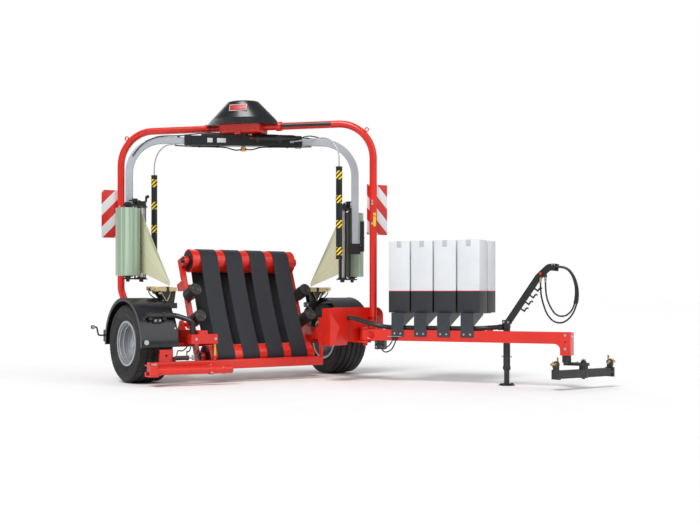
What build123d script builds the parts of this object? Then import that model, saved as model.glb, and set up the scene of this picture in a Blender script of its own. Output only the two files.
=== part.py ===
from build123d import *
import math
import os

# Trailed twin-satellite round-bale wrapper, millimetres.
# Machine frame while building: X forward, Y to the left, Z up, ground at Z 0,
# X 0 on the wheel axle and Y 0 on the centre plane. The pieces are moved at the
# end, so that the origin is the middle of the footprint.
os.makedirs("parts", exist_ok=True)

# Running clearances
SEAT_GAP = 0.3
PIN_GAP = 0.4
MOVING_GAP = 6.0

# Wheels and axle
TRACK = 2540.0
TYRE_RADIUS = 425.0
TYRE_WIDTH = 404.0
TREAD_WIDTH = 350.0
TREAD_CROWN = 14.0
BEAD_RADIUS = 228.0
BEAD_WIDTH = 320.0
GROOVE_WIDTH = 14.0
GROOVE_DEPTH = 16.0
GROOVE_OFFSETS = (-105.0, -36.0, 36.0, 105.0)
RIM_WALL = 9.0
RIM_FLANGE = 16.0
RIM_DISH = 70.0
DISC_WALL = 12.0
WHEEL_HUB_RADIUS = 82.0
WHEEL_HUB_LENGTH = 150.0
HUB_CAP_RADIUS = 48.0
HUB_CAP_LENGTH = 38.0
STUB_RADIUS = 32.0
STUB_LENGTH = 120.0
AXLE_SIZE = 100.0
AXLE_SHOULDER = 135.0

# Mudguards and their stays
GUARD_RADIUS = 490.0
GUARD_WALL = 7.0
GUARD_WIDTH = 420.0
GUARD_LIP = 36.0
GUARD_DROP = 25.0
STAY_RADIUS = 27.5
STAY_ANGLE = 36.0
STAY_OUTER_Y = 1400.0
STAY_BEND_Y = 1060.0
STAY_BEND_RADIUS = 60.0

# Chassis beams
SIDE_BEAM_Y = 845.0
SIDE_BEAM_WIDTH = 100.0
SIDE_BEAM_LOW = 430.0
SIDE_BEAM_HEIGHT = 140.0
FOOT_BEAM_OVERHANG = 72.0
FOOT_PAD_LENGTH = 130.0
FOOT_PAD_OUTER = 75.0
LEFT_BEAM_REAR = -330.0
LINK_X = 600.0
LINK_DEPTH = 80.0
LINK_HEIGHT = 100.0
LINK_OUTER_Y = 985.0
CROSS_DEPTH = 100.0
CROSS_INNER_Y = 360.0
CROSS_OVERHANG = 170.0
CROSS_TOP = 700.0
BACK_PLATE_TOP = 810.0
BACK_PLATE_WALL = 14.0
BACK_PLATE_INNER_Y = 480.0
BACK_PLATE_CORNER = 95.0
FRONT_BAR_X = 565.0
FRONT_BAR_DEPTH = 70.0
FRONT_BAR_HEIGHT = 100.0
FRONT_BAR_LOW = 150.0
FRONT_BAR_LEFT_Y = 700.0
FRONT_BAR_RIGHT_Y = -1440.0
FRONT_BAR_CORNER = 14.0
FRONT_EAR_Y = -1235.0
FRONT_EAR_WIDTH = 150.0
FRONT_EAR_HEIGHT = 126.0
FRONT_EAR_WALL = 14.0
FRONT_EAR_HOLE = 12.0
UPRIGHT_WALL = 26.0
UPRIGHT_DEPTH = 40.0

# Arch over the turntable and its hub
ARCH_RADIUS = 41.25
ARCH_HALF_SPAN = 1528.0
ARCH_ANGLE = 40.9
ARCH_TOP = 2866.0
ARCH_BEND = 400.0
ARCH_FRONT_FOOT = 450.0
ARCH_KNEE_Z = 1000.0
ARCH_KNEE_BEND = 260.0
ARCH_FOOT_INSET = 168.0
FOOT_PAD = 20.0
EYE_RADIUS = 26.0
EYE_HOLE = 15.0
EYE_WALL = 12.0
HUB_BOX_LENGTH = 490.0
HUB_BOX_WIDTH = 360.0
HUB_BOX_LOW = 2792.0
HUB_BOX_TOP = 2880.0
HUB_BOX_CORNER = 70.0
COVER_LENGTH = 880.0
COVER_WIDTH = 560.0
COVER_TOP_LENGTH = 350.0
COVER_TOP_WIDTH = 290.0
COVER_TOP = 3160.0
COVER_SKIRT = 78.0
COVER_SKIRT_INSET = 62.0
COVER_CORNER = 30.0

# Satellites
ROTOR_ANGLE = 61.5
ROTOR_Z = 2707.0
ROTOR_BEAM_HALF = 670.0
ROTOR_BEAM_WIDTH = 110.0
ROTOR_BEAM_HEIGHT = 110.0
ROTOR_SLEEVE = 8.0
ROTOR_POST_RADIUS = 62.0
ROTOR_PIN_RADIUS = 30.0
ROTOR_PIN_LENGTH = 26.0
ARM_DEPTH = 84.0
ARM_WIDTH = 50.0
ARM_CORNER = 12.0
ARM_REACH = 1290.0
ARM_BEND = 380.0
ARM_FOOT = 1490.0
ROLL_REACH = 1285.0
ROLL_OFFSET = 240.0
ROLL_RADIUS = 134.0
ROLL_CORE_RADIUS = 38.0
SPINDLE_RADIUS = 32.0
SPINDLE_REACH = 40.0
ROLL_LOW = 1162.0
ROLL_HEIGHT = 750.0
ROLL_HOLDER_WALL = 16.0
BRACKET_HALF = 50.0
BRACKET_NECK = 60.0
BACK_PLATE_WALL = 14.0
FOOT_CAP_WALL = 16.0
FOOT_CAP_DROP = 70.0
FOOT_CAP_RISE = 50.0
ROLL_CAP_HEIGHT = 26.0
DAMPER_REACH = 84.0
DAMPER_LUG_DROP = 40.0
DAMPER_RADIUS = 25.0
DAMPER_LOW = 1520.0
DAMPER_TOP = 1800.0
TIE_ROD_RADIUS = 12.0
TIE_ROD_OFFSET = -28.0
GEAR_CASE_HEIGHT = 46.0
GEAR_CASE_SIDE = 40.0
KNOB_RADIUS = 24.0
KNOB_HEIGHT = 66.0
FOOT_STUD_RADIUS = 20.0
FOOT_STUD_DROP = 26.0
STRETCH_REACH = 1150.0
STRETCH_OFFSETS = (118.0, 20.0)
STRETCH_RADIUS = 42.0
GUARD_BAR_REACH = 1045.0
GUARD_BAR_OFFSET = -571.0
GUARD_BAR_RADIUS = 35.0
GUARD_BAR_LOW = 1350.0
GUARD_BAR_TOP = 2360.0
GUARD_ROD_RADIUS = 8.0
GUARD_ROD_START = 560.0
GUARD_ROD_BEND = 260.0
UNION_RADIUS = 30.0
UNION_HEIGHT = 60.0
FILM_WALL = 2.0
FILM_TIP_LOW = 1052.0
FILM_TIP_HEIGHT = 46.0
FILM_TIP_X = 50.0
FILM_TIP_Y = 950.0
FILM_MARGIN = 12.0

# Tipping table, at rest tipped forward to load
TABLE_REAR_X = -75.0
TABLE_REAR_Z = 1328.0
TABLE_TILT = 69.0
DRUM_SPACING = 1128.0
DRUM_RADIUS = 128.0
DRUM_LENGTH = 1330.0
DRUM_SHAFT_RADIUS = 24.0
BELT_COUNT = 4
BELT_WIDTH = 212.0
BELT_PITCH = 312.0
BELT_WALL = 6.0
BELT_FRONT_ANGLE = 6.0
BELT_BACK_ANGLE = 6.5
PIVOT_ALONG = 706.0
PIVOT_DEPTH = 138.0
SIDE_ARM_Y = 705.0
SIDE_ARM_WIDTH = 50.0
SIDE_ARM_LOW = -125.0
SIDE_ARM_HEIGHT = 60.0
BEARING_RADIUS = 52.0
PIVOT_PIN_RADIUS = 25.0
PIVOT_LUG_RADIUS = 48.0
GUIDE_ALONG = (397.0, 705.0)
GUIDE_Y = 713.0
GUIDE_RADIUS = 70.0
GUIDE_LENGTH = 200.0
GUIDE_PIN_LENGTH = 170.0
GUIDE_CORNER = 6.0
GUIDE_LOW = -44.0
GUIDE_PIN_RADIUS = 18.0
TABLE_TUBE_ALONG = 234.0
TABLE_TUBE_DROP = 84.0
TABLE_TUBE_RADIUS = 30.0
TABLE_TUBE_LUG = 40.0

# Film cutters beside the table
CUTTER_POST = 60.0
CUTTER_HEAD_LOW = 800.0
CUTTER_HEAD_HEIGHT = 60.0
CUTTER_HEAD_WIDTH = 120.0
CUTTER_V_TOP = 985.0
CUTTER_V_INNER = 50.0
CUTTER_V_OUTER = 190.0
CUTTER_V_WALL = 10.0
CUTTER_V_GAP = 76.0
CUTTER_JAW_WIDTH = 34.0
CUTTER_JAW_HEIGHT = 44.0
CUTTER_JAW_OUTER = 215.0
CUTTER_CAM_RADIUS = 34.0
CUTTER_CYLINDER_RADIUS = 20.0

# Drawbar, hitch, jack and film store
PIVOT_REACH = 87.0
PIVOT_INSET = 140.0
DRAWBAR_ANGLE = 28.5
DRAWBAR_LENGTH = 2313.0
DRAWBAR_WIDTH = 100.0
DRAWBAR_HEIGHT = 120.0
DRAWBAR_LOW = 450.0
DRAWBAR_EYE_RADIUS = 56.0
DRAWBAR_PIN_RADIUS = 25.0
FORK_WALL = 22.0
VALVE_X = (130.0, 245.0)
VALVE_WIDTH = 84.0
VALVE_HEIGHT = 96.0
VALVE_CORNER = 10.0
NOSE_LENGTH = 105.0
NOSE_LOW = 335.0
NOSE_WALL = 12.0
NOSE_GUSSET = 60.0
YOKE_LOW = 236.0
YOKE_WALL = 28.0
YOKE_REACH = 120.0
YOKE_BACK = 70.0
YOKE_HALF_WIDTH = 60.0
HITCH_LENGTH = 800.0
HITCH_SIZE = 80.0
HITCH_LOW = 120.0
HITCH_BOSS_RADIUS = 45.0
HITCH_BOLT_RADIUS = 16.0
END_BLOCK_WALL = 24.0
END_BLOCK_DEPTH = 104.0
EAR_WIDTH = 64.0
LINK_PIN_RADIUS = 14.2
LINK_PIN_LENGTH = 57.0
LINK_SHANK_RADIUS = 18.0
LINK_SHOULDER = 1.0
LINK_HEAD_RADIUS = 24.0
LINK_HEAD_WALL = 16.0
LINK_PIN_Z = 262.0
JACK_ALONG = 1595.0
JACK_OUTER_RADIUS = 36.5
JACK_INNER_RADIUS = 28.5
JACK_OUTER_LOW = 160.0
JACK_TOP = 640.0
JACK_FOOT_RADIUS = 85.0
JACK_FOOT_WALL = 8.0
JACK_TRAVEL = 145.0
CARTON_SIZE = 250.0
CARTON_HEIGHT = 775.0
CARTON_PITCH = 266.0
CARTON_COUNT = 4
CARTON_START = 288.0
CARTON_NEAR = -17.0
CARTON_LOW = 755.0
RACK_WIDTH = 145.0
RACK_WALL = 8.0
RACK_LOW = 500.0

# Cover box, loading arm, boards and lamps
COVER_BOX_DEPTH = 160.0
COVER_BOX_WIDTH = 300.0
COVER_BOX_INSET = 215.0
COVER_BOX_Z = (400.0, 800.0)
FACET_SHARE = 0.4
FACET_UP = (0.88, 0.36, 0.28)
FACET_DOWN = (0.9, 0.4, -0.16)
ARM_PIVOT = (665.0, -1420.0)
ARM_END = (820.0, -600.0)
LOAD_ARM_RADIUS = 44.0
LOAD_ARM_Z = 165.0
LOAD_EYE_RADIUS = 48.0
LOAD_PIN_RADIUS = 18.0
LOAD_FORK_WALL = 12.0
BOARD_WIDTH = 282.0
BOARD_HEIGHT = 564.0
BOARD_WALL = 3.0
BOARD_LOW = 1620.0
BOARD_OVERLAP = 55.0

# Rear lamps, as ranges outwards and upwards
LAMP_Y = (1300.0, 1470.0)
LAMP_Z = (430.0, 560.0)
LAMP_DEPTH = 60.0
LENS_WALL = 5.0
MARKER_Y = 1620.0
MARKER_Z = 592.0
MARKER_WIDTH = 30.0
MARKER_HALF = 16.0
LENS_INSET = 10.0
STALK_RADIUS = 9.0
STALK_BEND = 20.0

# Hose rack: points ahead of the jack and up, in the plane of the jack
RACK_POINTS = ((17.0, 664.0), (340.0, 1130.0), (455.0, 1235.0), (555.0, 1225.0))
RACK_BEND = 60.0
RACK_BAR_WIDTH = 72.0
RACK_BAR_WALL = 12.0
HOOK_SHARES = (0.34, 0.49, 0.64, 0.79)
HOOK_REACH = 42.0
HOOK_RISE = 34.0
HOOK_WIDTH = 16.0
HOSE_RADIUS = 9.0
HOSE_OFFSET = 21.0
HOSE_CLIP_X = (485.0, 530.0)
HOSE_CLIP_Z = (1196.0, 1268.0)
COUPLING_BLOCK_X = (346.0, 424.0)
COUPLING_BLOCK_Z = (1128.0, 1152.0)
COUPLING_RADIUS = 14.0
CLIP_MARGIN = 14.0
RACK_BASE_X = (-42.0, 46.0)
RACK_BASE_HALF = 30.0
RACK_BASE_HEIGHT = 44.0

# Hanging hoses: points ahead of the jack and up
HOSE_OUTER = (
    (530.3, 1236.0), (625.0, 1236.0), (705.0, 1165.0), (752.0, 1050.0), (762.0, 920.0), (733.0, 800.0),
    (675.0, 705.0), (592.0, 655.0), (502.0, 672.0), (434.0, 752.0), (396.0, 860.0), (370.0, 968.0),
    (370.0, 1072.0),
)
HOSE_INNER = (
    (530.3, 1236.0), (620.0, 1236.0), (692.0, 1160.0), (730.0, 1040.0), (730.0, 915.0), (698.0, 800.0),
    (628.0, 728.0), (530.0, 728.0), (462.0, 815.0), (410.0, 950.0), (410.0, 1082.0),
)

pieces = []


def finish(piece, label):
    """Labels a finished piece and keeps it for the export at the end."""
    piece.part.label = label
    pieces.append(piece.part)


def block(xs, ys, zs, mode=Mode.ADD):
    """Adds a box that spans three ranges to the open part."""
    centre = tuple((low + high) / 2 for low, high in (xs, ys, zs))
    with Locations(centre):
        Box(xs[1] - xs[0], ys[1] - ys[0], zs[1] - zs[0], mode=mode)


def post(x, y, radius, low, high, mode=Mode.ADD):
    """Adds an upright cylinder between two heights to the open part."""
    with Locations((x, y, (low + high) / 2)):
        Cylinder(radius, high - low, mode=mode)


def cross_rod(x, z, radius, y_low, y_high, mode=Mode.ADD):
    """Adds a cylinder that lies along Y to the open part."""
    with Locations(Location((x, (y_low + y_high) / 2, z), (90, 0, 0))):
        Cylinder(radius, y_high - y_low, mode=mode)


def heading(degrees):
    """Unit vector in the ground plane at an angle from X towards Y."""
    return (math.cos(math.radians(degrees)), math.sin(math.radians(degrees)), 0)


arch_leg = [ARCH_HALF_SPAN * part for part in heading(ARCH_ANGLE)]
arch_foot = [(ARCH_FOOT_INSET - ARCH_HALF_SPAN) * part for part in heading(ARCH_ANGLE)]
cross_front = arch_leg[0] - ARCH_RADIUS - SEAT_GAP
cross_rear = cross_front - CROSS_DEPTH
cross_outer = arch_leg[1] + CROSS_OVERHANG
drawbar_pivot = (cross_front + PIVOT_REACH, arch_leg[1] - PIVOT_INSET)
drawbar_frame = Plane(origin=(*drawbar_pivot, 0), x_dir=heading(DRAWBAR_ANGLE), z_dir=(0, 0, 1))
rotor_frame = Plane(origin=(0, 0, 0), x_dir=heading(ROTOR_ANGLE), z_dir=(0, 0, 1))
arch_frame = Plane(origin=(0, 0, 0), x_dir=heading(ARCH_ANGLE), z_dir=heading(ARCH_ANGLE - 90))
tilt = math.radians(TABLE_TILT)
table_frame = Plane(
    origin=(TABLE_REAR_X, 0, TABLE_REAR_Z),
    x_dir=(math.cos(tilt), 0, -math.sin(tilt)),
    z_dir=(math.sin(tilt), 0, math.cos(tilt)),
)
table_pivot = table_frame.from_local_coords(Vector(PIVOT_ALONG, 0, -PIVOT_DEPTH))
axle_z = TYRE_RADIUS
wheel_y = TRACK / 2
side_inner = SIDE_BEAM_Y - SIDE_BEAM_WIDTH / 2
side_outer = SIDE_BEAM_Y + SIDE_BEAM_WIDTH / 2
side_top = SIDE_BEAM_LOW + SIDE_BEAM_HEIGHT
drawbar_top = DRAWBAR_LOW + DRAWBAR_HEIGHT
bar_front = FRONT_BAR_X + FRONT_BAR_DEPTH / 2
bar_rear = FRONT_BAR_X - FRONT_BAR_DEPTH / 2
bar_top = FRONT_BAR_LOW + FRONT_BAR_HEIGHT
link_low = SIDE_BEAM_LOW
link_top = link_low + LINK_HEIGHT
link_xs = (LINK_X - LINK_DEPTH / 2, LINK_X + LINK_DEPTH / 2)
bearing_y = DRUM_LENGTH / 2 + SEAT_GAP

# Wheels: a grooved tyre on a dished rim, turning on a stub axle
for side, name in ((1, "left"), (-1, "right")):
    wheel_plane = Plane(origin=(0, side * wheel_y, axle_z), x_dir=(1, 0, 0), z_dir=(0, side, 0))
    wheel_axis = Axis((0, side * wheel_y, axle_z), (0, 1, 0))
    # radius along X, width outwards
    profile_plane = Plane(origin=wheel_plane.origin, x_dir=(1, 0, 0), z_dir=(0, 0, side))
    with BuildPart() as tyre:
        with BuildSketch(profile_plane):
            with BuildLine():
                Polyline(
                    (BEAD_RADIUS, BEAD_WIDTH / 2),
                    (BEAD_RADIUS, -BEAD_WIDTH / 2),
                    (BEAD_RADIUS + 22, -BEAD_WIDTH / 2),
                )
                ThreePointArc(
                    (BEAD_RADIUS + 22, -BEAD_WIDTH / 2),
                    ((BEAD_RADIUS + TYRE_RADIUS) / 2, -TYRE_WIDTH / 2),
                    (TYRE_RADIUS - TREAD_CROWN, -TREAD_WIDTH / 2),
                )
                ThreePointArc(
                    (TYRE_RADIUS - TREAD_CROWN, -TREAD_WIDTH / 2),
                    (TYRE_RADIUS, 0),
                    (TYRE_RADIUS - TREAD_CROWN, TREAD_WIDTH / 2),
                )
                ThreePointArc(
                    (TYRE_RADIUS - TREAD_CROWN, TREAD_WIDTH / 2),
                    ((BEAD_RADIUS + TYRE_RADIUS) / 2, TYRE_WIDTH / 2),
                    (BEAD_RADIUS + 22, BEAD_WIDTH / 2),
                )
                Line((BEAD_RADIUS + 22, BEAD_WIDTH / 2), (BEAD_RADIUS, BEAD_WIDTH / 2))
            make_face()
            for offset in GROOVE_OFFSETS:
                with Locations((TYRE_RADIUS, offset)):
                    Rectangle(2 * GROOVE_DEPTH, GROOVE_WIDTH, mode=Mode.SUBTRACT)
        revolve(axis=wheel_axis)
    finish(tyre, f"tyre_{name}")

    barrel = BEAD_RADIUS - SEAT_GAP
    flange_y = BEAD_WIDTH / 2 + SEAT_GAP
    with BuildPart(wheel_plane) as rim:
        with BuildSketch(profile_plane):
            with BuildLine():
                Polyline(
                    (barrel, flange_y),
                    (barrel + RIM_FLANGE, flange_y),
                    (barrel + RIM_FLANGE, flange_y + RIM_WALL),
                    (barrel - RIM_WALL, flange_y + RIM_WALL),
                    (barrel - 2 * RIM_WALL, RIM_DISH),
                    (WHEEL_HUB_RADIUS + 40, RIM_DISH - 30),
                    (WHEEL_HUB_RADIUS, RIM_DISH - 30),
                    (WHEEL_HUB_RADIUS, RIM_DISH - 30 - DISC_WALL),
                    (WHEEL_HUB_RADIUS + 46, RIM_DISH - 30 - DISC_WALL),
                    (barrel - 2 * RIM_WALL, RIM_DISH - DISC_WALL - 18),
                    (barrel - RIM_WALL, -flange_y - RIM_WALL),
                    (barrel + RIM_FLANGE, -flange_y - RIM_WALL),
                    (barrel + RIM_FLANGE, -flange_y),
                    (barrel, -flange_y),
                    close=True,
                )
            make_face()
        revolve(axis=wheel_axis)
        hub_top = RIM_DISH - 10
        with Locations((0, 0, hub_top - WHEEL_HUB_LENGTH / 2)):
            Cylinder(WHEEL_HUB_RADIUS + 1, WHEEL_HUB_LENGTH)
        with Locations((0, 0, hub_top + HUB_CAP_LENGTH / 2)):
            Cylinder(HUB_CAP_RADIUS, HUB_CAP_LENGTH)
        bore_depth = STUB_LENGTH + PIN_GAP
        with Locations((0, 0, hub_top - WHEEL_HUB_LENGTH + bore_depth / 2)):
            Cylinder(STUB_RADIUS + PIN_GAP, bore_depth, mode=Mode.SUBTRACT)
    finish(rim, f"rim_{name}")

# Chassis: axle, side beams, cross member, front bar and the plates on them
hub_inner_y = wheel_y + RIM_DISH - 10 - WHEEL_HUB_LENGTH
axle_end = hub_inner_y - AXLE_SHOULDER
with BuildPart() as axle:
    block((-AXLE_SIZE / 2, AXLE_SIZE / 2), (-axle_end, axle_end),
          (axle_z - AXLE_SIZE / 2, axle_z + AXLE_SIZE / 2))
    for side in (1, -1):
        ends = sorted((side * axle_end, side * (hub_inner_y - PIN_GAP)))
        cross_rod(0, axle_z, STUB_RADIUS + 14, *ends)
        ends = sorted((side * axle_end, side * (hub_inner_y + STUB_LENGTH - PIN_GAP)))
        cross_rod(0, axle_z, STUB_RADIUS, *ends)
finish(axle, "axle")

with BuildPart() as side_beams:
    foot_xs = (arch_foot[0] - FOOT_BEAM_OVERHANG, arch_foot[0] - FOOT_BEAM_OVERHANG + FOOT_PAD_LENGTH)
    for side, rear, front in ((1, LEFT_BEAM_REAR, cross_rear), (-1, foot_xs[0], link_xs[1])):
        ys = sorted((side * side_inner, side * side_outer))
        block((rear, front), ys, (SIDE_BEAM_LOW, side_top))
        saddle = AXLE_SIZE / 2 + SEAT_GAP
        block((-saddle, saddle), ys, (SIDE_BEAM_LOW, axle_z + saddle), mode=Mode.SUBTRACT)
        # ears of the table's pivot
        with BuildSketch(Plane.XZ.offset(-side * side_inner)) as ear:
            with BuildLine():
                Polyline(
                    (table_pivot.X - 85, side_top),
                    (table_pivot.X - PIVOT_LUG_RADIUS, table_pivot.Z),
                )
                ThreePointArc(
                    (table_pivot.X - PIVOT_LUG_RADIUS, table_pivot.Z),
                    (table_pivot.X, table_pivot.Z + PIVOT_LUG_RADIUS),
                    (table_pivot.X + PIVOT_LUG_RADIUS, table_pivot.Z),
                )
                Polyline(
                    (table_pivot.X + PIVOT_LUG_RADIUS, table_pivot.Z),
                    (table_pivot.X + 85, side_top),
                    (table_pivot.X - 85, side_top),
                )
            make_face()
            with Locations((table_pivot.X, table_pivot.Z)):
                Circle(PIVOT_PIN_RADIUS + PIN_GAP, mode=Mode.SUBTRACT)
        extrude(amount=-side * 24)
    # links to the front bar and the mudguard stays
    for side in (1, -1):
        ys = sorted((side * (bearing_y + 8), side * LINK_OUTER_Y))
        block(link_xs, ys, (link_low, link_top))
        ys = sorted((side * (bearing_y + 8), side * (bearing_y + 8 + UPRIGHT_WALL)))
        block((bar_front - UPRIGHT_DEPTH, bar_front), ys, (bar_top, link_top))
    # foot of the arch's rear leg
    block(foot_xs, (arch_foot[1] - FOOT_PAD_OUTER, -side_inner), (SIDE_BEAM_LOW, side_top + FOOT_PAD))
finish(side_beams, "side_beams")

with BuildPart() as front_bar:
    block((bar_rear, bar_front), (FRONT_BAR_RIGHT_Y, FRONT_BAR_LEFT_Y), (FRONT_BAR_LOW, bar_top))
    fillet(front_bar.edges().filter_by(Axis.Y), FRONT_BAR_CORNER)
    # fork of the loading arm's pivot
    fork_ys = (ARM_PIVOT[1] - LOAD_EYE_RADIUS, ARM_PIVOT[1] + LOAD_EYE_RADIUS)
    for low in (LOAD_ARM_Z - LOAD_EYE_RADIUS - LOAD_FORK_WALL - 1, LOAD_ARM_Z + LOAD_EYE_RADIUS + 1):
        block((bar_rear + 10, ARM_PIVOT[0]), fork_ys, (low, low + LOAD_FORK_WALL))
        post(*ARM_PIVOT, LOAD_EYE_RADIUS, low, low + LOAD_FORK_WALL)
    block((bar_rear + 10, bar_rear + 34), fork_ys,
          (LOAD_ARM_Z - LOAD_EYE_RADIUS - LOAD_FORK_WALL - 1, FRONT_BAR_LOW))
    post(*ARM_PIVOT, LOAD_PIN_RADIUS, LOAD_ARM_Z - LOAD_EYE_RADIUS - 6, LOAD_ARM_Z + LOAD_EYE_RADIUS + 24)
    # upright ear on the bar
    with BuildSketch(Plane.YZ.offset(FRONT_BAR_X)):
        with Locations((FRONT_EAR_Y, bar_top + FRONT_EAR_HEIGHT / 2 - SEAT_GAP)):
            Rectangle(FRONT_EAR_WIDTH, FRONT_EAR_HEIGHT)
            Circle(FRONT_EAR_HOLE, mode=Mode.SUBTRACT)
    extrude(amount=-FRONT_EAR_WALL)
finish(front_bar, "front_bar")

with BuildPart() as cross_member:
    block((cross_rear, cross_front), (CROSS_INNER_Y, cross_outer), (SIDE_BEAM_LOW, CROSS_TOP))
    with BuildSketch(Plane.YZ.offset(cross_front - BACK_PLATE_WALL)):
        with BuildLine():
            Polyline(
                (cross_outer, CROSS_TOP - 1),
                (BACK_PLATE_INNER_Y, CROSS_TOP - 1),
                (BACK_PLATE_INNER_Y, BACK_PLATE_TOP),
                (cross_outer - BACK_PLATE_CORNER, BACK_PLATE_TOP),
            )
            RadiusArc(
                (cross_outer - BACK_PLATE_CORNER, BACK_PLATE_TOP),
                (cross_outer, BACK_PLATE_TOP - BACK_PLATE_CORNER),
                BACK_PLATE_CORNER,
            )
            Line((cross_outer, BACK_PLATE_TOP - BACK_PLATE_CORNER), (cross_outer, CROSS_TOP - 1))
        make_face()
    extrude(amount=BACK_PLATE_WALL)
    # fork round the drawbar's eye
    for low in (DRAWBAR_LOW - MOVING_GAP - FORK_WALL, drawbar_top + MOVING_GAP):
        block((cross_rear + 20, drawbar_pivot[0]),
              (drawbar_pivot[1] - DRAWBAR_EYE_RADIUS - 10, drawbar_pivot[1] + DRAWBAR_EYE_RADIUS + 10),
              (low, low + FORK_WALL))
        post(*drawbar_pivot, DRAWBAR_EYE_RADIUS + 10, low, low + FORK_WALL)
    post(*drawbar_pivot, DRAWBAR_PIN_RADIUS, DRAWBAR_LOW - 60, drawbar_top + 60)
finish(cross_member, "cross_member")

# Mudguards with a lip on the outer edge, on bent stays
for side, name in ((1, "left"), (-1, "right")):
    guard_y = side * (wheel_y + GUARD_WIDTH / 2)
    with BuildPart() as mudguard:
        for radius, mode in ((GUARD_RADIUS, Mode.ADD), (GUARD_RADIUS - GUARD_WALL, Mode.SUBTRACT)):
            low_y, high_y = wheel_y - GUARD_WIDTH / 2, wheel_y + GUARD_WIDTH / 2
            ends = sorted((side * low_y, side * high_y))
            cross_rod(0, axle_z, radius, *ends, mode=mode)
        lip_ys = sorted((guard_y, guard_y - side * GUARD_WALL))
        cross_rod(0, axle_z, GUARD_RADIUS - GUARD_WALL / 2, *lip_ys)
        cross_rod(0, axle_z, GUARD_RADIUS - GUARD_LIP, *lip_ys, mode=Mode.SUBTRACT)
        reach = GUARD_RADIUS + 10
        block((-reach, reach), (guard_y - reach, guard_y + reach), (-reach, axle_z - GUARD_DROP),
              mode=Mode.SUBTRACT)
    finish(mudguard, f"mudguard_{name}")

    stay_reach = GUARD_RADIUS + STAY_RADIUS + SEAT_GAP
    stay_x = stay_reach * math.cos(math.radians(STAY_ANGLE))
    stay_z = axle_z + stay_reach * math.sin(math.radians(STAY_ANGLE))
    with BuildPart() as stay:
        with BuildLine() as stay_path:
            FilletPolyline(
                (stay_x, side * STAY_OUTER_Y, stay_z),
                (stay_x, side * STAY_BEND_Y, stay_z),
                (LINK_X - 20, side * (LINK_OUTER_Y - 45), stay_z - 60),
                (LINK_X - 20, side * (LINK_OUTER_Y - 45), link_top + SEAT_GAP),
                radius=STAY_BEND_RADIUS,
            )
        with BuildSketch(Plane(origin=stay_path.line @ 0, z_dir=stay_path.line % 0)):
            Circle(STAY_RADIUS)
        sweep()
    finish(stay, f"mudguard_stay_{name}")

# Arch: one tube bent four times, with lifting eyes on the bends
with BuildPart() as arch:
    with BuildLine(arch_frame) as arch_path:
        FilletPolyline(
            (ARCH_HALF_SPAN, ARCH_FRONT_FOOT),
            (ARCH_HALF_SPAN, ARCH_TOP),
            (-ARCH_HALF_SPAN, ARCH_TOP),
            (-ARCH_HALF_SPAN, ARCH_KNEE_Z),
            (ARCH_FOOT_INSET - ARCH_HALF_SPAN, side_top),
            radius=(ARCH_BEND, ARCH_BEND, ARCH_KNEE_BEND),
        )
    with BuildSketch(Plane(origin=arch_path.line @ 0, z_dir=arch_path.line % 0)):
        Circle(ARCH_RADIUS)
    sweep()
    # the foot is cut flat above its pad
    cut = 4 * ARCH_RADIUS
    block((arch_foot[0] - cut, arch_foot[0] + cut), (arch_foot[1] - cut, arch_foot[1] + cut),
          (side_top - cut, side_top + FOOT_PAD + SEAT_GAP), mode=Mode.SUBTRACT)
    bend_x = ARCH_HALF_SPAN - ARCH_BEND + ARCH_BEND * math.sin(math.radians(45))
    bend_z = ARCH_TOP - ARCH_BEND + ARCH_BEND * math.cos(math.radians(45))
    out = (ARCH_RADIUS + EYE_RADIUS - 6) * math.cos(math.radians(45))
    with BuildSketch(arch_frame.offset(-EYE_WALL / 2)):
        with Locations((bend_x + out, bend_z + out), (-bend_x - out, bend_z + out)):
            Circle(EYE_RADIUS)
            Circle(EYE_HOLE, mode=Mode.SUBTRACT)
    extrude(amount=EYE_WALL)
finish(arch, "arch")

# Red gear box under the arch, with the bore of the satellites' shaft
hub_plane = Plane(origin=(0, 0, HUB_BOX_LOW), x_dir=heading(ARCH_ANGLE), z_dir=(0, 0, 1))
with BuildPart(hub_plane) as hub_box:
    with BuildSketch(hub_plane):
        RectangleRounded(HUB_BOX_LENGTH, HUB_BOX_WIDTH, HUB_BOX_CORNER)
    extrude(amount=HUB_BOX_TOP - HUB_BOX_LOW, taper=-6)
    with Locations(Location((0, 0, ARCH_TOP - HUB_BOX_LOW), (0, 90, 0))):
        Cylinder(ARCH_RADIUS + SEAT_GAP, 2 * HUB_BOX_LENGTH, mode=Mode.SUBTRACT)
    with Locations((0, 0, ROTOR_PIN_LENGTH / 2)):
        Cylinder(ROTOR_PIN_RADIUS + PIN_GAP, ROTOR_PIN_LENGTH, mode=Mode.SUBTRACT)
finish(hub_box, "hub_gearbox")

cover_plane = Plane(origin=(0, 0, HUB_BOX_TOP + SEAT_GAP), x_dir=heading(ARCH_ANGLE), z_dir=(0, 0, 1))
cover_height = COVER_TOP - HUB_BOX_TOP - SEAT_GAP
with BuildPart(cover_plane) as hub_cover:
    with BuildSketch(cover_plane):
        Ellipse(COVER_LENGTH / 2, COVER_WIDTH / 2)
    with BuildSketch(cover_plane.offset(COVER_SKIRT)):
        Ellipse(COVER_LENGTH / 2 - COVER_SKIRT_INSET, COVER_WIDTH / 2 - COVER_SKIRT_INSET)
    with BuildSketch(cover_plane.offset(cover_height)):
        Ellipse(COVER_TOP_LENGTH / 2, COVER_TOP_WIDTH / 2)
    loft(ruled=True)
    fillet(hub_cover.faces().sort_by(Axis.Z)[-1].edges(), COVER_CORNER)
    with Locations(Location((0, 0, ARCH_TOP - HUB_BOX_TOP - SEAT_GAP), (0, 90, 0))):
        Cylinder(ARCH_RADIUS + SEAT_GAP, 2 * COVER_LENGTH, mode=Mode.SUBTRACT)
finish(hub_cover, "hub_cover")

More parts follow.
